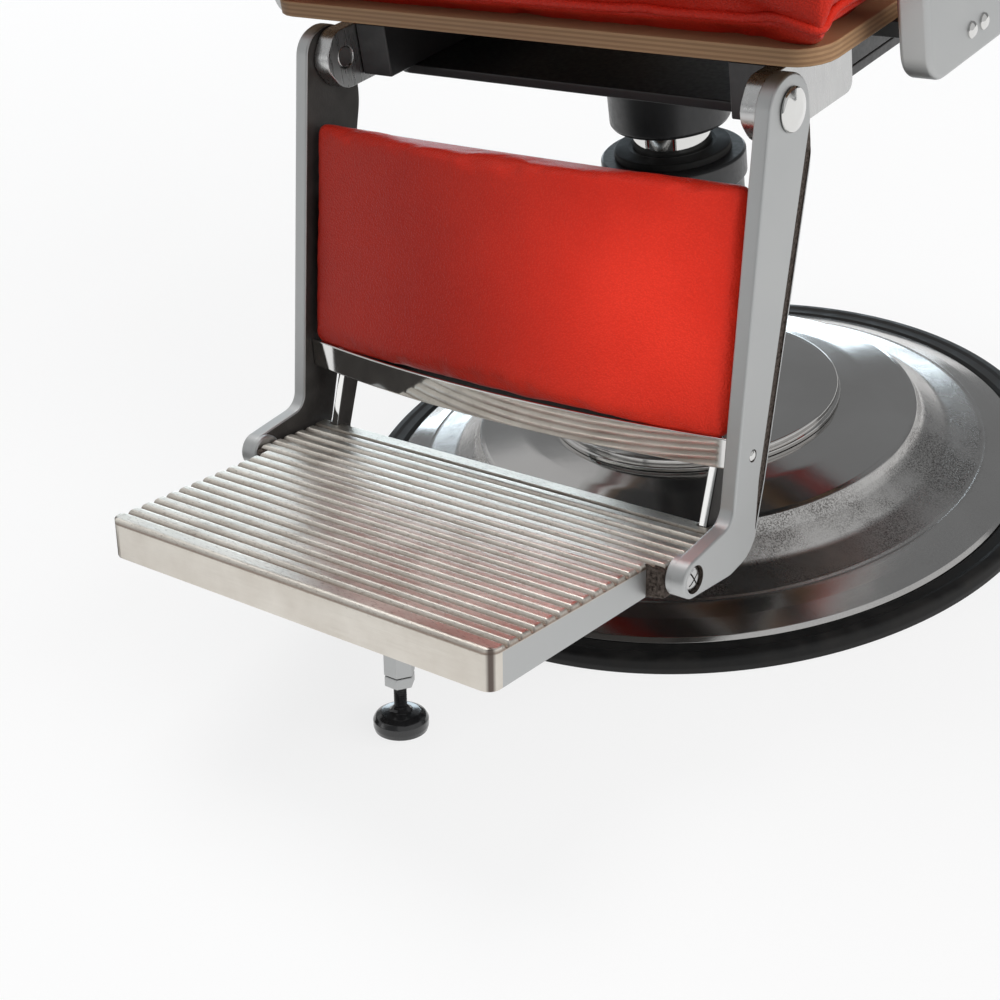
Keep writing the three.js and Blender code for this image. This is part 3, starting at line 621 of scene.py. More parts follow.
FINISH = {
    "cast_aluminium": cast_aluminium(), "polished_base": polished_base(), "chrome_trim": chrome(),
    "bright_steel": bright_steel(), "black_paint": black_paint(), "black_rubber": black_rubber(),
    "red_leather": red_leather(), "plywood": plywood(),
}
SATIN, ROUGH, DARK, GLOSS = satin_aluminium(), rough_casting(), painted_shade_finish(), glossy_black()


# ---- CAD pieces that stay ----

def dress(node, slot, edge):
    """A CAD piece in its finish, with its hard edges broken."""
    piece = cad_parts[node]
    piece.data.shade_smooth()
    for place in piece.material_slots:
        place.material = FINISH[slot]
    mend(piece)
    bevel(piece, edge, 3, 40, harden_normals=True)
    weigh(piece)


def both(*names):
    """Names of nodes on the left and on the right."""
    return [f"{name}_{side}" for name in names for side, _ in SIDES]


def dress_kept_nodes():
    kept = {
        "black_paint": (1.2, ["seat_top_plate", "cross_bar_front", "cross_bar_rear", "headrest_yoke",
                              "calf_board", *both("seat_rail", "back_hinge", "strip_block")]),
        "bright_steel": (1.0, ["base_plate", "valve_block", "headrest_guide",
                               *both("back_strap", "leg_hinge", "calf_bracket")]),
        "chrome_trim": (1.0, ["headrest_post"]),
        "plywood": (0.8, ["seat_board"]),
    }
    for slot, (edge, nodes) in kept.items():
        for node in nodes:
            dress(node, slot, edge)


# ---- base and pump ----

def add_base():
    outer, inner, top = BASE["tyre_outer"], BASE["tyre_inner"], BASE["tyre_top"]
    tyre = turned([
        (inner, 0, 0), (outer - 1, 0, 1.5), (outer, 6, 6), (outer - 1.5, top - 1.5, 4), (outer - 9, top, 3),
        (outer - 12, top - 1.2, 2), (inner + 3, top - 0.8, 1), (inner, top - 3, 1),
    ], 5, 256)
    make("rubber_ring", Shape(tyre), "black_rubber", "base", ["base_tyre"])
    hole, foot, edge, top = PUMP["casing"] + 0.4, BASE["underside"], BASE["dome"], BASE["dome_top"]
    crease, low, rim, rim_top = (BASE[k] for k in ("crease", "crease_top", "rim", "rim_top"))
    r = BASE["flange"]
    dome = turned([
        (hole, foot, 0), (edge, foot, 0), (edge, 12.4, 1.5), (edge - 3.2, 15.4, 3), (258, 21.8, 40),
        (crease + 1.2, low + 0.2, 1.2), (crease - 0.6, low - 0.2, 0.8), (crease - 3, low + 0.9, 1.2),
        (213, 35.5, 20), (rim + 5.5, 49.5, 14), (rim + 1.2, rim_top - 1.4, 2.2), (rim - 3, rim_top + 0.3, 3),
        (150, 67.4, 120), (r + 6, top - 0.3, 20), (r + 1, top, 0.8), (hole, top, 0),
    ], 6, 256)
    make("base_dome", Shape(dome), "polished_base", "base", ["base_casting"])
    foot, top = BASE["flange_foot"], BASE["flange_top"]
    puck = turned([
        (hole, foot, 0), (r + 2, foot, 0.4), (r + 2, foot + 3.2, 1), (r - 0.6, foot + 4.4, 0.5),
        (r - 0.6, foot + 5.4, 0.4), (r + 0.6, foot + 6.4, 0.8), (r + 0.2, top - 0.4, 1.8), (r - 5, top, 1.2),
        (r - 30, top + 0.2, 30), (hole, top, 0),
    ], 5, 224)
    make("base_flange", Shape(puck), "polished_base", "base", ["column_flange"])


def add_pump():
    r, top, bore, foot = PUMP["casing"], PUMP["casing_top"], PUMP["bore"], PUMP["bore_foot"]
    low, flange, seal_top = BASE["underside"], BASE["flange_top"] + 0.3, PUMP["seal_top"]
    barrel = turned([
        (bore, foot, 0), (0.001, foot, 0), (0.001, low, 0), (r, low, 0), (r, flange, 0), (r + 8, flange, 0.6),
        (r + 8, 90, 3), (r, 96, 3), (r, top - 23, 2), (r + 3, top - 20, 1), (r + 3, top - 1.6, 1.5),
        (r + 1.2, top, 1), (bore, top, 0.8),
    ], 4, 160)
    make("pump_barrel", Shape(barrel), "black_paint", "base", ["pump_casing"])
    seal = turned([(bore - 0.2, top + 0.3, 0), (r - 8, top + 0.3, 0.5), (r - 8.5, seal_top - 1, 1.5),
                   (bore + 3, seal_top, 2), (bore - 0.2, seal_top - 0.4, 0)], 4, 128)
    make("wiper_ring", Shape(seal), "black_rubber", "base", ["ram_seal"])
    ram = rod(PUMP["ram"], PUMP["ram_foot"], PUMP["ram_top"], 2, 128)
    make("lift_piston", Shape(ram), "chrome_trim", "lift_ram", ["ram"])
    place = LEVER_FRAME @ Matrix.Translation((LEVER["pivot"], 0, LEVER["height"]))
    pin = Shape(rod(6, -30, 30, 1), place @ Matrix.Rotation(math.radians(90), 4, "X"))
    make("lever_pivot_pin", pin, "bright_steel", "base", ["lever_pin"])


def add_lever():
    """The pump lever with its eye at the pivot, and the rubber pedal with cleats at its end."""
    pivot, h, reach, half = (LEVER[k] for k in ("pivot", "height", "reach", "half_width"))
    bottom, top, eye = LEVER["bottom"], LEVER["top"], 14
    outline = rounded([
        (pivot - eye, h - eye, eye - 0.1), (pivot + 42, h - eye, 30), (200, bottom + 3, 160),
        (reach - 54, bottom, 60), (reach, bottom, 2), (reach, top, 2), (reach - 54, top, 60),
        (200, top + 7, 160), (pivot + 50, h + 12, 40), (pivot + 24, h + eye, 20),
        (pivot - eye, h + eye, eye - 0.1),
    ])
    arm = Shape(prism(outline, -half, half, 3, 4), LEVER_FRAME @ UPRIGHT)
    make("pump_foot_lever", arm, "chrome_trim", "foot_pump", ["pump_lever"])
    front, side = reach + 2, LEVER["pedal_half"]
    rear = front - LEVER["pedal"]
    pedal = Shape(box_part((rear, -side, bottom - 5), (front, side, top + 4), 8, 4), LEVER_FRAME)
    for k in range(LEVER["cleats"]):
        x = rear + 6 + LEVER["cleat_pitch"] * k
        pedal.add(box_part((x, 4 - side, top + 2), (x + 4, side - 4, top + 6), 1.8, 1.2), LEVER_FRAME)
    make("pump_pedal_pad", pedal, "black_rubber", "foot_pump", ["pump_pedal"])


def add_socket():
    foot, top, r, roof = (SEAT[k] for k in ("socket_foot", "socket_top", "socket", "socket_roof"))
    bore = PUMP["ram"] + 0.4
    hub = turned([
        (bore, foot, 0.5), (r, foot, 1), (r + 2, foot + 3, 2), (r + 2, top - 30, 8), (r + 6, top - 18, 12),
        (r + 24, top - 6, 2), (r + 24, top, 1), (0.001, top, 0), (0.001, roof, 0), (bore, roof, 0),
    ], 5, 128)
    make("seat_hub", Shape(hub), "black_paint", "seat", ["seat_socket"])


# ---- seat frame, arms and handle ----

def domed_screw(radius, height):
    """A domed screw head about Z from height 0."""
    return turned([(0.001, 0, 0), (radius, 0, 0), (radius, height * 0.35, radius * 0.12),
                   (radius * 0.55, height, radius * 0.7), (0.001, height, 0)], 6, 48)


def add_arm_castings():
    """Arm castings with a window cut through them, and two pairs of screws at the foot of each."""
    inner, bottom, top = ARMREST["inner"], ARMREST["bottom"], ARMREST["top"]
    outer = inner + ARMREST["thickness"]
    outline = rounded([
        (-128, bottom, 22), (250, bottom, 22), (262, 470, 60), (262, top - 4, 20), (-158, top - 4, 22),
        (-150, top - 40, 20), (-108, top - 62, 60), (-138, 520, 90),
    ], 10)
    window = rounded([
        (-96, bottom + 42, 18), (214, bottom + 42, 22), (228, 520, 60), (228, top - 32, 24),
        (-70, top - 32, 30), (-84, 560, 90),
    ], 10)
    for side, place in SIDES:
        body = Shape(prism(outline, inner, outer, 4, 4), place @ SIDE_VIEW)
        arm = make(f"arm_frame_{side}", body, "cast_aluminium", "seat", [f"arm_casting_{side}"], [SATIN])
        carve(arm, Shape(prism(window, inner - 5, outer + 5, 0.5, 1), place @ SIDE_VIEW))
        bevel(arm, 3, 3, 60)
        settle(arm)
        shade(arm)
        for label, y in ARMREST["screws"].items():
            for k, step in enumerate((-ARMREST["screw_step"], ARMREST["screw_step"])):
                spot = place @ along_x(outer, y + step, ARMREST["screw_height"])
                screw = Shape(domed_screw(5.5, 3.2), spot)
                make(f"arm_screw_{label}_{k + 1}_{side}", screw, "chrome_trim", "seat")


def add_handle():
    """The recline lever on the outside of the right arm, with its ball."""
    x = ARMREST["inner"] + ARMREST["thickness"] + 0.3
    y, z = HANDLE["place"]
    end, hub, ball = z + HANDLE["length"], HANDLE["hub"], HANDLE["ball"]
    blade = rounded([(y - 11, z, 2), (y + 11, z, 2), (y - 20, end, 3), (y - 32, end, 3)], 4)
    lever = Shape(prism(blade, x + 2, x + 10, 2, 3), SIDE_VIEW)
    boss = turned([(0.001, 0, 0), (hub, 0, 0.5), (hub, 11, 2), (9, 12.5, 2), (0.001, 12.5, 0)], 5, 64)
    lever.add(boss, along_x(x, y, z))
    make("recline_handle_bar", lever, "chrome_trim", "recline_handle", ["recline_lever"])
    arc = [math.radians(-80 + 10 * k) for k in range(17)]
    profile = [(0.001, -ball), *((ball * math.cos(a), ball * math.sin(a)) for a in arc), (0.001, ball)]
    knob = Shape(lathe(profile, 48), Matrix.Translation((x + 6, y - 26, z + HANDLE["ball_up"])))
    make("recline_ball_knob", knob, "black_rubber", "recline_handle", ["recline_knob"], [GLOSS])


def add_pins():
    """Round pins of the hinges, with their heads."""
    face = LEG["outer"] + 0.4
    shank, head = 8, 15
    bolt = turned([
        (0.001, 179.7, 0), (shank, 179.7, 1), (shank, face, 0), (head, face, 0.6), (head, face + 2, 2),
        (6, face + 4.6, 12), (0.001, face + 4.6, 0),
    ], 5, 64)
    for side, place in SIDES:
        pin = Shape(rod(8, 146, 182.5, 1.2), place @ along_x(0, *BACK["pivot"]))
        make(f"recline_pin_{side}", pin, "bright_steel", "seat", [f"back_pin_{side}"])
        leg_bolt = Shape(bolt, place @ along_x(0, *LEG["pivot"]))
        make(f"leg_pivot_bolt_{side}", leg_bolt, "chrome_trim", "seat", [f"leg_hinge_pin_{side}"])
    pin = Shape(rod(5, -30, 30, 1), BACK_FRAME @ along_x(0, *HEADREST["pin"]))
    make("headrest_tilt_pin", pin, "bright_steel", "headrest_stem", ["headrest_pin"])


# ---- leg rest ----

def sloped(start, slope, z):
    """Where a line through the pair start (y, z) is at a height."""
    return start[0] + slope * (z - start[1])


def arm_front(z):
    return sloped(LEG["front"], LEG["slope"], z)


def arm_rear(z):
    return sloped(LEG["rear"], LEG["rear_slope"], z)


def brace_middle(z):
    return sloped(BRACE["line"], BRACE["slope"], z) + BRACE["line_to_middle"]


def leg_arm_outline():
    y, z = STEP["pivot"]
    boss, top = STEP["boss"], LEG["pivot"][1]
    return rounded([
        (y - boss, z + boss, boss - 0.1), (arm_front(z + boss), z + boss, 14),
        (arm_front(top + 20), top + 20, 22), (LEG["pivot"][0] + 24, top + 30, 26),
        (arm_rear(top - 40), top - 40, 60), (arm_rear(165), 165, 60),
        (-246, 119, 26), (-277, 118, 30), (y - boss, z - boss * 0.77, boss - 0.4),
    ], 12)


def leg_arm_groove():
    """The rough band along the rear edge of an arm, running out to a point."""
    rim, band, top = LEG["groove_rim"], LEG["groove_band"], 420
    return rounded([
        (arm_rear(top) - rim, top, 0.4), (arm_rear(168) - rim, 168, 52), (-243, 133, 0.3),
        (arm_rear(172) - band, 172, 46), (arm_rear(top) - band, top, 0.4),
    ], 10)


def add_leg_arms():
    """Arms with a round boss at the end, a sunk screw in it, and a rough cast band along the rear edge."""
    y, z = STEP["pivot"]
    boss, inner, outer, sink = STEP["boss"], LEG["inner"], LEG["outer"], STEP["recess_depth"]
    for side, place in SIDES:
        body = Shape(prism(leg_arm_outline(), inner, outer, 1.9, 4), place @ SIDE_VIEW)
        arm = make(f"leg_arm_cast_{side}", body, "cast_aluminium", "leg_rest", [f"leg_arm_{side}"],
                   [SATIN, ROUGH, DARK])
        disc = rod(boss - 0.2, LEG["boss_inner"], inner + 4, 1.2, 96)
        carve(arm, Shape(disc, place @ along_x(0, y, z)), "UNION")
        spot, small = place @ along_x(outer, y, z), place @ along_x(outer, *LEG["small_screw"])
        carve(arm, Shape(rod(STEP["recess"], -sink, 4, 0.2, 64), spot, 1))
        carve(arm, Shape(rod(4.6, -1.1, 4, 0.2, 48), small, 1))
        carve(arm, Shape(prism(leg_arm_groove(), outer - 0.8, outer + 4, 0.3, 2), place @ SIDE_VIEW, 1))
        # Painted shade: faces on the inner side, away from the boss, take the dark finish.
        for face in arm.data.polygons:
            middle = face.center / MM
            if abs(middle.x) < inner + 0.3 and math.hypot(middle.y - y, middle.z - z) > boss:
                face.material_index = 2
        add_step_screw(side, spot)
        head = Shape(domed_screw(3.9, 2.0), small @ Matrix.Translation((0, 0, -1)))
        make(f"arm_small_screw_{side}", head, "chrome_trim", "leg_rest")


def add_step_screw(side, spot):
    """The pivot screw sunk in the boss of an arm, with a cross slot."""
    floor, r = -STEP["recess_depth"] + 0.3, STEP["head"]
    dome = turned([(0.001, floor, 0), (r, floor, 0), (r, floor + 2, 0.6), (r * 0.6, -0.9, 6),
                   (0.001, -0.7, 0)], 6, 64)
    screw = make(f"step_screw_head_{side}", Shape(dome, spot), "chrome_trim", "leg_rest",
                 [f"step_screw_{side}"], [FINISH["bright_steel"], ROUGH])
    slot = box_part((-6.4, -0.6, -2.6), (6.4, 0.6, 2), 0.3, 0.2)
    for turn in (25, 115):
        carve(screw, Shape(slot, spot @ Matrix.Rotation(math.radians(turn), 4, "Z"), 1))


def add_braces():
    """The two flat link bars with round ends, their bolts, and the tube between the arms."""
    inner, outer, half = BRACE["inner"], BRACE["outer"], BRACE["width"] / 2
    lean = math.atan(BRACE["slope"])
    head, foot = (Vector((brace_middle(BRACE[k]), BRACE[k])) for k in ("top", "foot"))
    outline = []
    for centre, radius, start in ((head, half + 2, -lean), (foot, half, math.pi - lean)):
        for k in range(17):
            a = start + math.pi * k / 16
            outline.append(centre + Vector((math.cos(a), math.sin(a))) * radius)
    bolt = lathe([(0.001, 0), (6.5, 0), (6.5, 3), (5.5, 4), (0.001, 4)], 6)
    for side, place in SIDES:
        bar = Shape(prism(outline, inner, outer, 1, 3), place @ SIDE_VIEW)
        link = make(f"step_link_{side}", bar, "bright_steel", "leg_rest", [f"step_brace_{side}"],
                    [FINISH["chrome_trim"], DARK])
        # Painted shade: the flat sides of the bars take the dark finish, and only the rounded edges stay
        # chrome.
        for face in link.data.polygons:
            if abs(abs(face.center.x) / MM - (inner + outer) / 2) > 3:
                face.material_index = 1
        spot = place @ along_x(inner, *foot) @ Matrix.Rotation(math.pi, 4, "X")
        make(f"step_link_bolt_{side}", Shape(bolt, spot), "bright_steel", "leg_rest")
    end = LEG["inner"] + 3.4
    tube = Shape(rod(7, -end, end, 1), along_x(0, *head))
    make("leg_cross_tube", tube, "bright_steel", "leg_rest", ["leg_tie_tube"])


def add_calf_strip():
    """The bright strip under the leg pad, bent along the pad's face."""
    half, edge, bulge = CALF["half"] + 0.5, CALF["edge"] + 0.5, CALF["bulge"] - 2
    low, high, thickness = CALF["strip_bottom"], CALF["bottom"] - 1, CALF["strip_thickness"]
    lean = math.tan(math.radians(CALF["strip_lean"]))
    flat = rounded([(0, low, 1.2), (thickness, low, 0.8), (thickness, high, 0.8), (0, high, 1.2)], 4)
    section = [Vector((p.x - lean * (p.y - high), p.y)) for p in flat]
    count, columns = len(section), 96
    vertices, faces = [], []
    for i in range(columns + 1):
        x = -half + 2 * half * i / columns
        y = edge - bulge * (1 - (x / half) ** 2)
        vertices += [(x, y + p.x, p.y) for p in section]
    for i in range(columns):
        for k in range(count):
            a, b = i * count + k, i * count + (k + 1) % count
            faces.append([a, b, b + count, a + count])
    faces.append(list(range(count)))
    faces.append(list(range(columns * count, (columns + 1) * count)))
    make("calf_trim_strip", Shape((vertices, faces), LEG_FRAME), "chrome_trim", "leg_rest", ["calf_strip"])


# ---- foot plate; v is the distance behind the first rib ----

def plate_half(v):
    """Half the plate's width."""
    front, waist, rear = FOOT["front_half"], FOOT["waist_half"], FOOT["rear_half"]
    if v <= FOOT["waist"]:
        half = front + (waist - front) * (v - FOOT["front"]) / (FOOT["waist"] - FOOT["front"])
    else:
        t = min(1, (v - FOOT["waist"]) / (FOOT["shoulder"] - FOOT["waist"]))
        half = waist + (rear - waist) * t * t * (3 - 2 * t)
    corner = FOOT["corner"]
    lag = corner - (v - FOOT["front"])
    if lag > 0:
        half -= corner - math.sqrt(max(0, corner ** 2 - lag ** 2))
    return half


def plate_bottom(v):
    t = (v - FOOT["front"]) / (FOOT["rear"] - FOOT["front"])
    return -FOOT["front_depth"] + (FOOT["front_depth"] - FOOT["rear_depth"]) * t


def rib_height(v):
    """Height of the tread over its valleys: rounded ribs, a lip in front and a flat band behind."""
    if v < 0 or v > LAST_RIB + 7.4:
        return FOOT["rib"]
    phase = (v + 5.0) % FOOT["pitch"]
    if phase > FOOT["rib_width"]:
        return 0
    s = abs(phase / FOOT["rib_width"] * 2 - 1)
    return FOOT["rib"] * (1 - s ** 6) ** 0.7


def rib_rows():
    """The v at which the tread is drawn."""
    front, rear, last, steps = FOOT["front"], FOOT["rear"], LAST_RIB + 8.5, 18
    rows = [front + d for d in (0, 0.3, 0.8, 1.5, 2.4, 3.4, 4.6, 6, 7.5)]
    v = 0.0
    while v < last:
        rows.append(v)
        v += FOOT["pitch"] / steps
    rows += [last + (rear - last) * k / 6 for k in range(6)]
    rows += [rear - d for d in (2.0, 1.2, 0.6, 0.2, 0)]
    rows += [FOOT["waist"] + d for d in (-0.2, 0.3, 1.3, 2.7, 3.7, 4.2)]
    return sorted(rows)


def tread_top(x, v):
    """Height of the tread; ribs end in a round nose at the sides and the rims are rounded."""
    aside, ahead, behind = plate_half(v) - abs(x), v - FOOT["front"], FOOT["rear"] - v
    height, nose = rib_height(v), FOOT["nose"]
    if v > 0 and behind > 12 and aside < nose:
        height *= math.sqrt(max(0, 1 - (1 - aside / nose) ** 2))
    drop = 0
    for gap, rim in ((ahead, FOOT["lip"]), (aside, FOOT["rim"]), (behind, FOOT["rear_rim"])):
        if gap < rim:
            drop = max(drop, rim - math.sqrt(rim ** 2 - (rim - gap) ** 2))
    return height - FOOT["rib"] - drop


def tread_part():
    """The plate as one closed skin: ribbed top, outer walls, rim and the hollow underneath."""
    rows = rib_rows()
    asides = [0, 0.12, 0.35, 0.7, 1.2, 1.8, 2.5, 3.2, 4.5, 8, 20, 50, 100]
    columns = 2 * len(asides) + 1
    vertices, faces = [], []
    for v in rows:
        half = plate_half(v)
        xs = [-half + a for a in asides] + [0] + [half - a for a in reversed(asides)]
        vertices += [(x, v, tread_top(x, v)) for x in xs]
    for j in range(len(rows) - 1):
        for i in range(columns - 1):
            a = j * columns + i
            faces.append([a, a + 1, a + 1 + columns, a + columns])
    last = (len(rows) - 1) * columns
    loop = list(range(0, columns))
    loop += [j * columns + columns - 1 for j in range(1, len(rows))]
    loop += [last + i for i in range(columns - 2, -1, -1)]
    loop += [j * columns for j in range(len(rows) - 2, 0, -1)]
    outline = [Vector(vertices[i][:2]) for i in loop]
    rings = [loop]

    def ring(points, height):
        first = len(vertices)
        vertices.extend((p.x, p.y, height(p.y)) for p in points)
        rings.append(list(range(first, first + len(points))))

    ring(outline, lambda v: plate_bottom(v) + 1.5)
    ring(inset(outline, 0.5), lambda v: plate_bottom(v) + 0.4)
    ring(inset(outline, 1.6), plate_bottom)
    side, front, rear = HOLLOW["half"], HOLLOW["front"], HOLLOW["rear"]
    hollow = [Vector((max(-side, min(side, p.x)), max(front, min(rear, p.y)))) for p in outline]
    ring(hollow, plate_bottom)
    ring(hollow, lambda v: -FOOT["skin"])
    for upper, lower in zip(rings, rings[1:]):
        count = len(upper)
        for i in range(count):
            j = (i + 1) % count
            faces.append([upper[i], lower[i], lower[j], upper[j]])
    faces.append(rings[-1])
    return vertices, faces


def inside_hollow(point):
    """Whether a point of the plate lies on the walls or the roof of its open underside."""
    return abs(point.x) < HOLLOW["half"] + 0.5 and HOLLOW["front"] - 0.5 < point.y < HOLLOW["rear"] + 0.5


def tread_mark(middle):
    """The finish of a face of the plate: 0 brushed, 1 rough side steps, 2 satin sides, 3 painted shade on the
    underside.
    """
    aside, v, z = abs(middle.x), middle.y, middle.z
    if aside > FOOT["waist_half"] - 1 and FOOT["waist"] - 1 < v < FOOT["shoulder"] + 1:
        return 1
    # Painted shade: the underside and the walls and roof of the hollow take the dark finish.
    if z < plate_bottom(v) + 0.6 or (z < -7 and inside_hollow(middle)):
        return 3
    if aside > plate_half(v) - 0.3 and z < -FOOT["rib"] - 1 and v > 1:
        return 2
    return 0


def add_foot_plate():
    """The tread with its rough side steps, and the slots for the two link bars."""
    vertices, faces = tread_part()
    shape = Shape((vertices, faces), PLATE_FRAME)
    for i, face in enumerate(faces):
        shape.marks[i] = tread_mark(sum((Vector(vertices[k]) for k in face), Vector()) / len(face))
    plate = make("step_plate", shape, "cast_aluminium", "leg_rest", ["foot_plate"],
                 [FINISH["cast_aluminium"], ROUGH, SATIN, DARK])
    to_plate = PLATE_FRAME.inverted()
    link, head = (to_plate @ Vector((0, brace_middle(BRACE[k]), BRACE[k])) for k in ("foot", "top"))
    lean = -math.atan2(head.y - link.y, head.z - link.z)
    middle, across, deep, half = (BRACE["inner"] + BRACE["outer"]) / 2, BRACE["width"] / 2 + 2, 45, 4.5
    slot = box_part((-half, -across, -deep), (half, across, deep), 1, 0.5)
    way_out = box_part((middle - half, link.y, -70), (middle + half, FOOT["rear"] + 40, 12), 1, 0.5)
    along_bar = Matrix.Translation((middle, link.y, link.z)) @ Matrix.Rotation(lean, 4, "X")
    for _, place in SIDES:
        carve(plate, Shape(slot, place @ PLATE_FRAME @ along_bar))
        carve(plate, Shape(way_out, place @ PLATE_FRAME))


def add_plate_ends():
    """The rough pads between the plate and the arms, and the lugs beside the link bars."""
    step = (PLATE_FRAME.inverted() @ Vector((0, *STEP["pivot"]))).y
    rear, side = FOOT["rear"], FOOT["rear_half"]
    heel = rear + FOOT["lug"]
    pad = box_part((side - 5, step - 12.8, -23.8), (LEG["boss_inner"] - 0.4, step + 12.8, -3.6), 1.2, 1)
    ear = rounded([(rear - 8, -22.5, 3), (heel - 7, -22.5, 8), (heel, -15, 8), (heel - 2, -4, 7),
                   (rear, -1.5, 6), (rear - 8, -1.5, 2)], 8)
    lobe = prism(ear, BRACE["outer"] + 1.2, side - 0.2, 3.4, 5)
    for name, place in SIDES:
        turn = place @ PLATE_FRAME
        make(f"step_side_pad_{name}", Shape(pad, turn), "cast_aluminium", "leg_rest", (), [ROUGH])
        make(f"step_lug_{name}", Shape(lobe, turn @ SIDE_VIEW), "cast_aluminium", "leg_rest", (), [SATIN])


def add_levelling_foot():
    """The hexagonal stand-off and lock nut under the plate, and the foot on its threaded stem."""
    place = PLATE_FRAME @ Matrix.Translation((0, LEVELLER["along"], 0))
    radius, hex_end = LEVELLER["flats"] / math.sqrt(3), LEVELLER["hex_end"]
    six = [Vector((math.cos(a), math.sin(a))) for a in [math.radians(60 * k) for k in range(6)]]
    standoff = prism([p * radius for p in six], hex_end, -FOOT["skin"] - 0.2, 0.8, 1)
    make("foot_hex_post", Shape(standoff, place), "chrome_trim", "leg_rest", ["foot_standoff"], [SATIN])
    nut = prism([p * (radius - 0.3) for p in six], LEVELLER["nut_end"], hex_end - 0.3, 1.2, 2)
    make("foot_jam_nut", Shape(nut, place), "chrome_trim", "leg_rest", ["foot_lock_nut"], [SATIN])
    top, end, r, stem = (LEVELLER[k] for k in ("disc_top", "disc_end", "disc", "stem"))
    bell = rounded([
        (0.001, end, 0), (r - 1, end, 1.5), (r, end + 4, 3), (r, end + 9, 2), (r - 2, end + 12.5, 4),
        (r - 6, end + 14.7, 5), (stem + 3.5, end + 15.8, 3), (stem + 1.6, top + 0.5, 1),
        (stem + 0.4, top + 1.6, 0),
    ], 5)
    profile = [(p.x, p.y) for p in bell]
    thread, z = LEVELLER["thread"], top + 2.0
    while z < LEVELLER["nut_end"] + 3:
        profile += [(stem - 0.7, z), (stem, z + thread / 2)]
        z += thread
    profile += [(stem, LEVELLER["stem_top"]), (0.001, LEVELLER["stem_top"])]
    make("levelling_pad", Shape(lathe(profile, 72), place), "black_rubber", "levelling_screw",
         ["levelling_foot"], [GLOSS])


# ---- padding ----

CLOTH = {
    "quality": 4, "mass": 0.3, "tension_stiffness": 15, "compression_stiffness": 15,
    "shear_stiffness": 5, "bending_stiffness": 0.5, "use_pressure": True,
}
CLOTH_FRAMES = 20


def stuffed(name, node, body, edge, shrink, cap, pressure=4.0, voxel=5.0, evening=4):
    """A leather cushion from its plain CAD solid: rounded, remeshed, then swelled as cloth."""
    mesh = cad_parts[node].data.copy()
    mesh.materials.clear()
    pad = placed(name, mesh)
    mend(pad)
    bevel(pad, edge, 4, 50)
    modify(pad, "REMESH", mode="VOXEL", voxel_size=voxel * MM)
    modify(pad, "DISPLACE", strength=-shrink * MM, mid_level=0)
    modify(pad, "SMOOTH", iterations=evening)
    settle(pad)
    swell(pad, pressure, cap)
    modify(pad, "SUBSURF", levels=1, render_levels=1)
    settle(pad)
    pad.data.materials.append(FINISH["red_leather"])
    pad.data.shade_smooth()
    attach(pad, body)
    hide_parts(node)
    return pad


def swell(pad, pressure, cap):
    """Blows a pad up as cloth; no point moves by more than cap."""
    rest = [v.co.copy() for v in pad.data.vertices]
    cloth = pad.modifiers.new("cloth", "CLOTH")
    for key, value in CLOTH.items():
        setattr(cloth.settings, key, value)
    cloth.settings.uniform_pressure_force = pressure
    cloth.settings.effector_weights.gravity = 0
    cloth.collision_settings.use_collision = False
    cloth.collision_settings.use_self_collision = False
    scene = bpy.context.scene
    for step in range(1, CLOTH_FRAMES + 1):
        scene.frame_set(step)
    seen = pad.evaluated_get(bpy.context.evaluated_depsgraph_get())
    swollen = [v.co.copy() for v in seen.data.vertices]
    pad.modifiers.clear()
    scene.frame_set(1)
    limit = cap * MM
    for vertex, start, end in zip(pad.data.vertices, rest, swollen):
        move = end - start
        if move.length > limit:
            move *= limit / move.length
        vertex.co = start + move


def on_surface(pad, path, lift=0):
    """The points of a path dropped on a pad and raised by lift."""
    tree = BVHTree.FromPolygons([v.co for v in pad.data.vertices], [p.vertices for p in pad.data.polygons])
    dropped = []
    for point in path:
        place, normal, _, _ = tree.find_nearest(Vector(point) * MM)
        dropped.append(place / MM + normal * lift)
    return dropped


def evened(path, rounds):
    """A closed path with its small wobbles taken out."""
    count = len(path)
    for _ in range(rounds):
        path = [(path[i - 1] + path[i] * 2 + path[(i + 1) % count]) / 4 for i in range(count)]
    return path


def crease(pad, path, width, depth):
    """Presses a seam into a pad along a path."""
    tree = KDTree(len(path))
    for i, point in enumerate(path):
        tree.insert(point * MM, i)
    tree.balance()
    reach = width * MM
    moves = []
    for vertex in pad.data.vertices:
        distance = tree.find(vertex.co)[2]
        if distance < 3 * reach:
            moves.append((vertex, vertex.normal * -depth * MM * math.exp(-(distance / reach) ** 2)))
    for vertex, move in moves:
        vertex.co += move


def resampled(corners, spacing):
    """Points at an even spacing along a closed run of straight lines."""
    points = []
    for a, b in zip(corners, corners[1:] + corners[:1]):
        a, b = Vector(a), Vector(b)
        steps = max(1, round((b - a).length / spacing))
        points += [a.lerp(b, k / steps) for k in range(steps)]
    return points


def piping(name, pad, corners, body, radius=3.2):
    """A leather welt along the edge of a pad."""
    path = evened(on_surface(pad, resampled(corners, 4)), 6)
    crease(pad, path, 7, 2.2)
    path = evened(on_surface(pad, path, radius * 0.35), 4)
    make(name, Shape(swept(path, radius, 12)), "red_leather", body, degrees=80)


def plan_of(node, radius):
    """The rounded outline of a CAD pad in plan, and the heights of its underside and its top."""
    low, high = (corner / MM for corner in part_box(node))
    return rectangle(low, high, radius), low.z, high.z


def level(outline, height):
    """An outline in plan as corners at one height."""
    return [(p.x, p.y, height) for p in outline]


def facing(outline, depth):
    """An outline seen from the front, at a depth before the hinge line of the back."""
    return [BACK_FRAME @ Vector((p.x, -depth, p.y)) for p in outline]


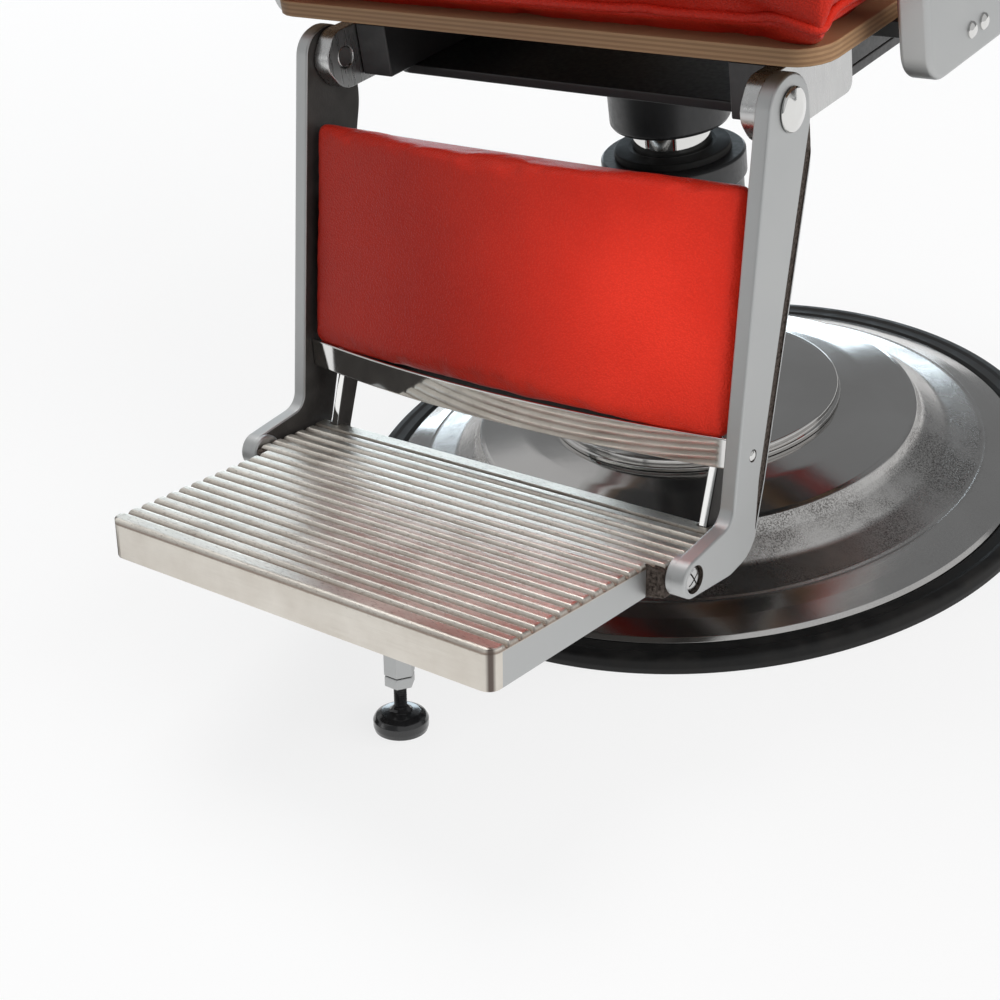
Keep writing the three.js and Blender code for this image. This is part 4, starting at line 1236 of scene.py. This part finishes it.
def add_seat_pad():
    seat = stuffed("seat_pad", "seat_cushion", "seat", 24, 4, 12)
    outline, low, high = plan_of("seat_cushion", 40)
    piping("seat_piping_top", seat, level(outline, high), "seat")
    piping("seat_piping_bottom", seat, level(outline, low + 14), "seat")


def add_back_pad():
    """The back's cushion, with piping round its face and two pressed seams."""
    back = stuffed("back_pad", "back_cushion", "back", 22, 4, 14)
    half, top = BACK["half"] - 3, BACK["top"]
    piping("back_piping", back, facing(rectangle((-half, 15), (half, top), 60), 125), "back")
    for x in (-BACK["seam"], BACK["seam"]):
        line = [BACK_FRAME @ Vector((x, -160, z)) for z in range(60, 490, 4)]
        crease(back, on_surface(back, line), 8, 7)


def add_headrest_pad():
    pillow = stuffed("headrest_pad", "headrest_cushion", "headrest", 22, 3, 9)
    half, bottom, top = HEADREST["half"], HEADREST["bottom"], HEADREST["top"]
    rim = facing(rectangle((-half, bottom), (half, top), 40), 73)
    piping("headrest_piping", pillow, rim, "headrest", 2.6)


def add_arm_pads():
    for side, _ in SIDES:
        pad = stuffed(f"armrest_pad_{side}", f"arm_pad_{side}", "seat", 12, 2, 5, voxel=4)
        outline, low, _ = plan_of(f"arm_pad_{side}", 24)
        piping(f"armrest_piping_{side}", pad, level(outline, low + 8), "seat", 2.4)


def add_leg_pad():
    """The leg rest's pad; its lower edge is rolled back and down onto the trim strip."""
    pad = stuffed("leg_pad", "calf_pad", "leg_rest", 7, 0.4, 3, pressure=3, voxel=4, evening=2)
    to_leg = LEG_FRAME.inverted()
    hem = CALF["hem"]
    for vertex in pad.data.vertices:
        p = to_leg @ (vertex.co / MM)
        t = (CALF["bottom"] + hem - p.z) / hem
        if t > 0:
            p.z -= 4.4 * t * t
            p.y += 1.2 * t * t
            vertex.co = LEG_FRAME @ p * MM


def add_back_shell():
    half, top = BACK["half"], BACK["top"]
    panel = prism(rectangle((-half, 42), (half, top), 50, 12), -19, -5, 4, 4)
    make("back_panel", Shape(panel, BACK_FRAME @ BACK_VIEW), "black_paint", "back", ["back_shell"])


# ---- studio ----

def add_lamp(name, kind, place, target, power, **settings):
    """A lamp at a place in metres, turned to a target."""
    data = bpy.data.lights.new(name, kind)
    data.energy = power
    for key, value in settings.items():
        setattr(data, key, value)
    lamp = placed(name, data)
    lamp.location = place
    lamp.rotation_euler = (Vector(target) - Vector(place)).to_track_quat("-Z", "Y").to_euler()
    return lamp


def softbox(name, place, target, size, power, colour=(1, 1, 1)):
    lamp = add_lamp(name, "AREA", place, target, power, shape="RECTANGLE",
                    size=size[0], size_y=size[1], color=colour)
    lamp.visible_camera = False


def sky_light(name, azimuth, elevation, spread, strength, glossy=True, diffuse=True):
    """A soft round light far away."""
    lamp = add_lamp(name, "SUN", direction(azimuth, elevation), (0, 0, 0), strength, angle=math.radians(spread))
    lamp.visible_glossy, lamp.visible_diffuse = glossy, diffuse


def add_spot(name, place, target, angle, power):
    """A small lamp with a soft-edged beam; metal does not mirror it."""
    lamp = add_lamp(name, "SPOT", place, target, power, spot_size=math.radians(angle), spot_blend=1,
                    shadow_soft_size=0.08)
    lamp.visible_glossy = lamp.visible_camera = False


def flat_sheet(name, corners, material):
    """A flat studio item through corners in metres."""
    mesh = bpy.data.meshes.new(name)
    mesh.from_pydata(corners, [], [(0, 1, 2, 3)])
    mesh.materials.append(material)
    sheet = placed(name, mesh)
    return sheet


def add_floor():
    """Paper that keeps the chair's soft shadow; it is white to a camera or a reflection, grey to the chair."""
    paper = Finish("studio paper", {"Roughness": 0.9, "Specular IOR Level": 0.1})
    path = paper.node("ShaderNodeLightPath").outputs
    seen = paper.maths("MAXIMUM", path["Is Camera Ray"], path["Is Glossy Ray"])
    seen = paper.maths("MAXIMUM", seen, path["Is Transmission Ray"])
    grey, fibre, white = ((FLOOR[k],) * 3 for k in ("grey", "fibre", "white"))
    paper.tint(seen, grey, paper.mixed(paper.noise(3, 2), fibre, white))
    glow = paper.node("ShaderNodeEmission", {"Color": (1, 1, 1, 1), "Strength": 1.0}).outputs[0]
    share = paper.maths("MULTIPLY", seen, FLOOR["glow"])
    both_ways = paper.node("ShaderNodeMixShader", {0: share, 1: paper.shader.outputs[0], 2: glow}).outputs[0]
    paper.tree.links.new(both_ways, paper.tree.nodes["Material Output"].inputs["Surface"])
    reach = FLOOR["reach"]
    corners = [(-reach, -reach, 0), (reach, -reach, 0), (reach, reach, 0), (-reach, reach, 0)]
    flat_sheet("floor", corners, paper.material).location.z = -FLOOR["drop"]


def add_flag():
    """A dark board beside the lamps that only reflections see."""
    near, far, height = FLAG["near"], FLAG["far"], FLAG["height"]
    board = flat_sheet("flag", [(*far, 0), (*near, 0), (*near, height), (*far, height)], DARK)
    board.visible_camera = board.visible_diffuse = board.visible_shadow = False


def add_sky():
    """A world that is dim to the chair and pale to the camera."""
    world = bpy.data.worlds.new("studio")
    bpy.context.scene.world = world
    world.use_nodes = True
    nodes, links = world.node_tree.nodes, world.node_tree.links
    mix = nodes.new("ShaderNodeMix")
    mix.data_type = "RGBA"
    mix.inputs[6].default_value = (*SKY["dim"], 1)
    mix.inputs[7].default_value = (*SKY["pale"], 1)
    links.new(nodes.new("ShaderNodeLightPath").outputs["Is Camera Ray"], mix.inputs[0])
    links.new(mix.outputs[2], nodes["Background"].inputs["Color"])


def add_studio():
    add_floor()
    add_flag()
    sky_light("key", 86, 24, 50, 2.1, glossy=False)
    sky_light("key glow", 86, 26, 100, 0.7)
    sky_light("overhead", 222, 67, 36, 1.0)
    sky_light("left dome", 282, 50, 80, 0.45, diffuse=False)
    add_spot("pad lamp", (0.35, -1.1, 0.50), (0.125, -0.2, 0.29), 18, 24)
    softbox("window", (-2.5, 3.4, 0.60), (0, -0.3, 0.2), (3.4, 0.95), 46, (0.76, 0.90, 1.0))
    softbox("front box", (-2.3, -3.25, 1.3), (0, 0, 0.3), (1.6, 1.0), 5)
    add_sky()
    bpy.context.scene.view_settings.view_transform = "Standard"


# ---- the chair ----

add_camera()
dress_kept_nodes()
add_base()
add_pump()
add_lever()
add_socket()
add_arm_castings()
add_handle()
add_pins()
add_leg_arms()
add_braces()
add_calf_strip()
add_foot_plate()
add_plate_ends()
add_levelling_foot()
add_back_shell()
add_seat_pad()
add_back_pad()
add_headrest_pad()
add_arm_pads()
add_leg_pad()
add_studio()
